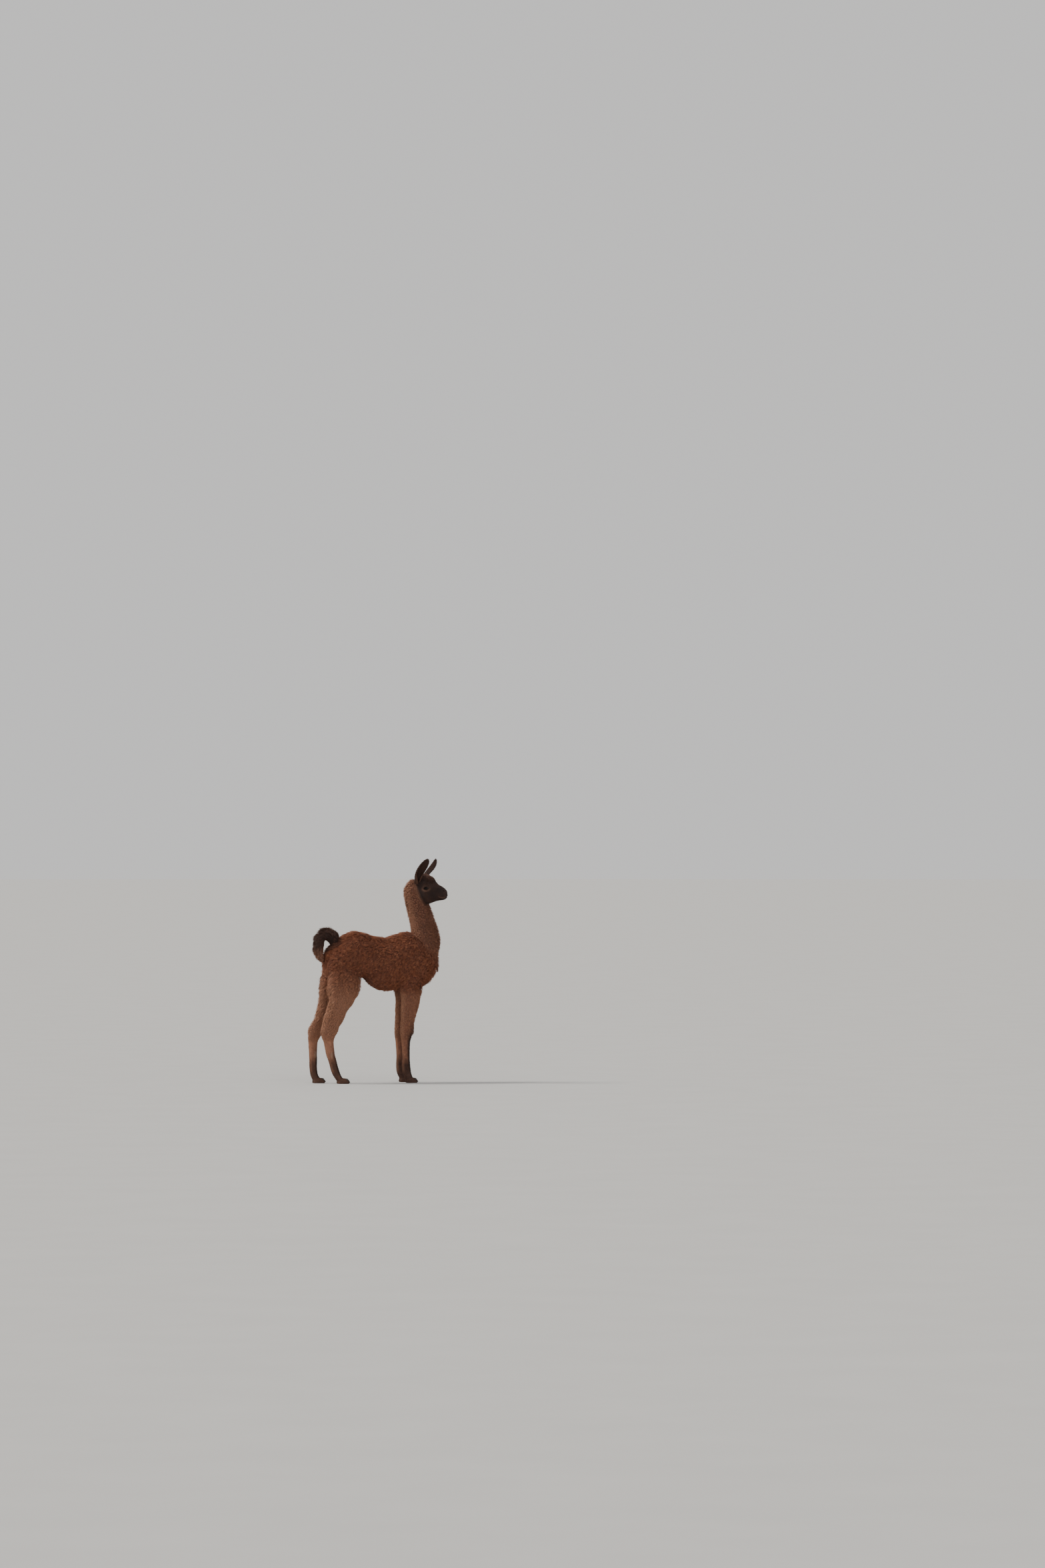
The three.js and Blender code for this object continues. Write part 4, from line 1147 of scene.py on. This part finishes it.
# The second colour here is painted shade, laid on the roots of the tufts
SKIN_SHADE, ROOT_PAINTED_SHADE = rgb(48, 34, 28), rgb(44, 28, 22)
TIP_FROST, DARK_FROST = rgb(200, 140, 98), rgb(62, 39, 31)
STRAND_LIGHT, STRAND_DEEP = rgb(170, 124, 92), rgb(40, 27, 22)
FIBRE_SHADE = rgb(34, 24, 20)
IRIS_INNER, IRIS_OUTER = rgb(40, 24, 14), rgb(44, 26, 16)
EYE_LIMB, EYE_BACK = rgb(14, 9, 7), rgb(30, 24, 22)
IRIS_STREAK, PUPIL = rgb(18, 11, 8), rgb(4, 4, 5)
NAIL_DARK, NAIL_LIGHT = rgb(34, 28, 25), rgb(78, 66, 57)
FLOOR_DARK, FLOOR_LIGHT = rgb(176, 175, 173), rgb(183, 182, 180)
SKY = rgb(222, 221, 220)


def nodes_of(name):
    material = bpy.data.materials.new(name)
    material.use_nodes = True
    tree = material.node_tree
    return material, tree, tree.nodes["Principled BSDF"]


def feed(tree, node, values):
    """Sets a node's inputs, by name or place, to constants or to what other nodes give."""
    for place, value in values.items():
        if isinstance(value, bpy.types.NodeSocket):
            tree.links.new(value, node.inputs[place])
        else:
            node.inputs[place].default_value = value


def add_node(tree, kind, inputs, **settings):
    node = tree.nodes.new(kind)
    for key, value in settings.items():
        setattr(node, key, value)
    feed(tree, node, inputs)
    return node


def mix(tree, factor, first, second, blend="MIX"):
    inputs = {"Factor": factor, 6: first, 7: second}
    return add_node(tree, "ShaderNodeMix", inputs, data_type="RGBA", blend_type=blend).outputs[2]


def maths(tree, operation, first, second, clamp=False):
    inputs = {0: first, 1: second}
    return add_node(tree, "ShaderNodeMath", inputs, operation=operation, use_clamp=clamp).outputs[0]


def tint(tree, colour, mask, strength, other, blend="MIX"):
    """The colour, turned towards another where the mask is high."""
    return mix(tree, maths(tree, "MULTIPLY", mask, strength), colour, other, blend)


def noise(tree, scale, detail=3.0, roughness=0.55, distortion=0.0):
    place = add_node(tree, "ShaderNodeNewGeometry", {}).outputs["Position"]
    inputs = {"Scale": scale, "Detail": detail, "Roughness": roughness, "Distortion": distortion}
    return add_node(tree, "ShaderNodeTexNoise", inputs | {"Vector": place}).outputs["Fac"]


def add_bump(tree, shader, height, strength, distance):
    inputs = {"Strength": strength, "Distance": distance, "Height": height}
    feed(tree, shader, {"Normal": add_node(tree, "ShaderNodeBump", inputs).outputs["Normal"]})


def attribute(tree, name):
    """The three channels of a mesh attribute, and its alpha."""
    source = add_node(tree, "ShaderNodeAttribute", {}, attribute_name=name).outputs
    split = add_node(tree, "ShaderNodeSeparateColor", {0: source["Color"]})
    return *split.outputs, source["Alpha"]


def ramp(tree, value, first, *middle, last):
    """Colours by value, through stops of place and colour."""
    node = add_node(tree, "ShaderNodeValToRGB", {0: value})
    elements = node.color_ramp.elements
    for element, (place, colour) in zip(elements, (first, last)):
        element.position, element.color = place, colour
    for place, colour in middle:
        elements.new(place).color = colour
    return node.outputs[0]


def coat_colour(tree):
    """The coat's colour from its masks, with soft mottling, and its dark mask."""
    dark, pale, rust, gland = attribute(tree, "marks")
    colour = mix(tree, rust, GREY_BROWN, RUST_BROWN)
    colour = tint(tree, colour, noise(tree, 28, 4), 0.35, CLOUD_BROWN)
    wool = noise(tree, 80, 3)
    colour = tint(tree, colour, maths(tree, "SUBTRACT", wool, 0.5, True), 2.4, WOOL_LIGHT)
    colour = tint(tree, colour, maths(tree, "SUBTRACT", 0.5, wool, True), 2.6, WOOL_DEEP)
    colour = mix(tree, dark, colour, NEAR_BLACK)
    colour = mix(tree, pale, colour, PALE_TAN)
    return mix(tree, gland, colour, GLAND_TAN), dark


def skin_material():
    material, tree, shader = nodes_of("llama_skin")
    colour, _ = coat_colour(tree)
    colour = tint(tree, colour, noise(tree, 900, 4, 0.7), 0.3, SKIN_SHADE)
    feed(tree, shader, {"Base Color": colour, "Roughness": 0.72, "Specular IOR Level": 0.3})
    add_bump(tree, shader, noise(tree, 1400, 3, 0.6, 0.4), 0.5, 0.0008)
    return material


def coat_material():
    material, tree, shader = nodes_of("llama_coat")
    colour, dark = coat_colour(tree)
    shade, along, hue, _ = attribute(tree, "strand")
    # Painted shade: each tuft darkens towards its root
    colour = tint(tree, colour, maths(tree, "SUBTRACT", 0.62, along, True), 0.75, ROOT_PAINTED_SHADE)
    frost = mix(tree, dark, TIP_FROST, DARK_FROST)
    colour = tint(tree, colour, maths(tree, "SUBTRACT", along, 0.45, True), 0.45, frost)
    colour = tint(tree, colour, shade, 0.24, STRAND_LIGHT, "SOFT_LIGHT")
    colour = tint(tree, colour, hue, 0.3, STRAND_DEEP)
    fibre = noise(tree, 700, 3, 0.6)
    colour = tint(tree, colour, fibre, 0.22, FIBRE_SHADE)
    feed(tree, shader, {"Base Color": colour, "Roughness": 0.78, "Specular IOR Level": 0.22})
    feed(tree, shader, {"Sheen Weight": 0.08, "Sheen Roughness": 0.5})
    add_bump(tree, shader, fibre, 0.35, 0.0006)
    return material


def eye_material():
    material, tree, shader = nodes_of("llama_eye")
    off, ahead, _, _ = attribute(tree, "gaze")
    ball = ramp(tree, off, (0.0, IRIS_INNER), (0.62, IRIS_OUTER), (0.7, EYE_LIMB), last=(0.8, EYE_BACK))
    pupil = ramp(tree, ahead, (0.46, (1, 1, 1, 1)), last=(0.56, (0, 0, 0, 1)))
    iris = tint(tree, ball, noise(tree, 1500, 3, 0.7), 0.5, IRIS_STREAK)
    colour = mix(tree, pupil, iris, PUPIL)
    feed(tree, shader, {"Base Color": colour, "Roughness": 0.35, "Specular IOR Level": 0.1})
    feed(tree, shader, {"Coat Weight": 0.12, "Coat Roughness": 0.04})
    return material


def nail_material():
    material, tree, shader = nodes_of("llama_nail")
    grain = noise(tree, 240, 4, 0.6, 0.6)
    rough = maths(tree, "ADD", maths(tree, "MULTIPLY", grain, 0.3), 0.35)
    feed(tree, shader, {"Base Color": mix(tree, grain, NAIL_DARK, NAIL_LIGHT), "Roughness": rough})
    add_bump(tree, shader, noise(tree, 600, 2), 0.4, 0.0005)
    return material


def add_aimed(name, data, place, aim):
    """A camera or a lamp that looks along aim."""
    thing = add_object(name, data)
    thing.location = place
    thing.rotation_mode = "QUATERNION"
    thing.rotation_quaternion = aim.to_track_quat("-Z", "Y")
    return thing


def make_camera():
    """The photo's long lens, close to level, with the animal at the lower left of its frame."""
    focal = LENS / SENSOR * FRAME_TALL
    ahead = Vector((-math.sin(CAMERA_TURN), math.cos(CAMERA_TURN), 0))
    right = Vector((math.cos(CAMERA_TURN), math.sin(CAMERA_TURN), 0))
    data = bpy.data.cameras.new("camera")
    data.lens = LENS
    data.sensor_width = SENSOR
    data.clip_end = 400
    origin = Vector((SHIFT[0], SHIFT[1], 0))
    place = origin - ahead * CAMERA_DISTANCE + Vector((0, 0, CAMERA_HEIGHT))
    pan = math.atan((FRAME_WIDE / 2 - ORIGIN_COLUMN) / focal)
    tilt = math.atan((LEVEL_ROW - FRAME_TALL / 2) / focal)
    aim = ahead * math.cos(pan) + right * math.sin(pan)
    aim = aim * math.cos(tilt) + Vector((0, 0, math.sin(tilt)))
    bpy.context.scene.camera = add_aimed("camera", data, place, aim)


def add_light(name, source, energy, softness, colour):
    """Soft light that comes from the direction of source, the same all over the floor."""
    data = bpy.data.lights.new(name, "SUN")
    data.energy = energy
    data.angle = math.radians(softness)
    data.color = colour
    add_aimed(name, data, Vector(source) * 3, -Vector(source))


def make_studio():
    """A wide pale floor, a pale sky, a soft key light and a softer fill."""
    sides = 96
    turn = around(sides)
    rings = [np.stack([r * np.cos(turn), r * np.sin(turn), 0 * turn], -1) for r in FLOOR_RINGS]
    points = np.concatenate([*rings, [[0, 0, 0]]])
    faces = ring_faces(len(rings), sides)
    faces += [(len(rings) * sides, side, (side + 1) % sides) for side in range(sides)]
    mesh = new_mesh("studio_floor", points, faces)
    material, tree, shader = nodes_of("studio_floor")
    colour = mix(tree, noise(tree, 3, 3), FLOOR_DARK, FLOOR_LIGHT)
    feed(tree, shader, {"Base Color": colour, "Roughness": 0.9, "Specular IOR Level": 0.1})
    mesh.materials.append(material)
    floor = add_object("studio_floor", mesh)

    world = bpy.data.worlds.new("studio")
    world.use_nodes = True
    feed(world.node_tree, world.node_tree.nodes["Background"], {"Color": SKY, "Strength": SKY_STRENGTH})
    bpy.context.scene.world = world
    for name, light in LIGHTS.items():
        add_light(name, *light)


make_camera()
make_studio()

flesh = build_skin()
COAT = coat_material()
SKIN = skin_material()
COARSE = 1.0

# Name, slot, zones, spacing of the roots, rings of a tuft, pieces, unwrap, size and strength of the locks
grow("torso", "coat_body", ("torso",), 3.7, 3, 3, torso_sheet, 14, 0.48)
grow("neck", "coat_neck", ("neck",), 2.7, 3, 2, neck_sheet, 10, 0.72)
grow("crown", "coat_face", ("crown",), 2.3, 3, 1, head_sheet, 8, 0.5)
grow("face", "coat_face", ("face",), 2.1, 2, 1, head_sheet)
grow("leg", "coat_leg", ("leg",), 3.3, 2, 2, leg_sheet, 10, 0.45)
grow("shin", "coat_shin", ("shin", "foot"), 2.7, 2, 2, leg_sheet)
grow("tail", "coat_tail", ("tail",), 2.5, 3, 1, tail_sheet, 13, 0.5)

ears = [(side, *ear_shell(side)) for side in SIDES.values()]
grow_ears(ears)
finish_skin(ears)
make_eyes(eye_material())
make_nails(nail_material())
make_lashes()

bpy.data.meshes.remove(flesh)
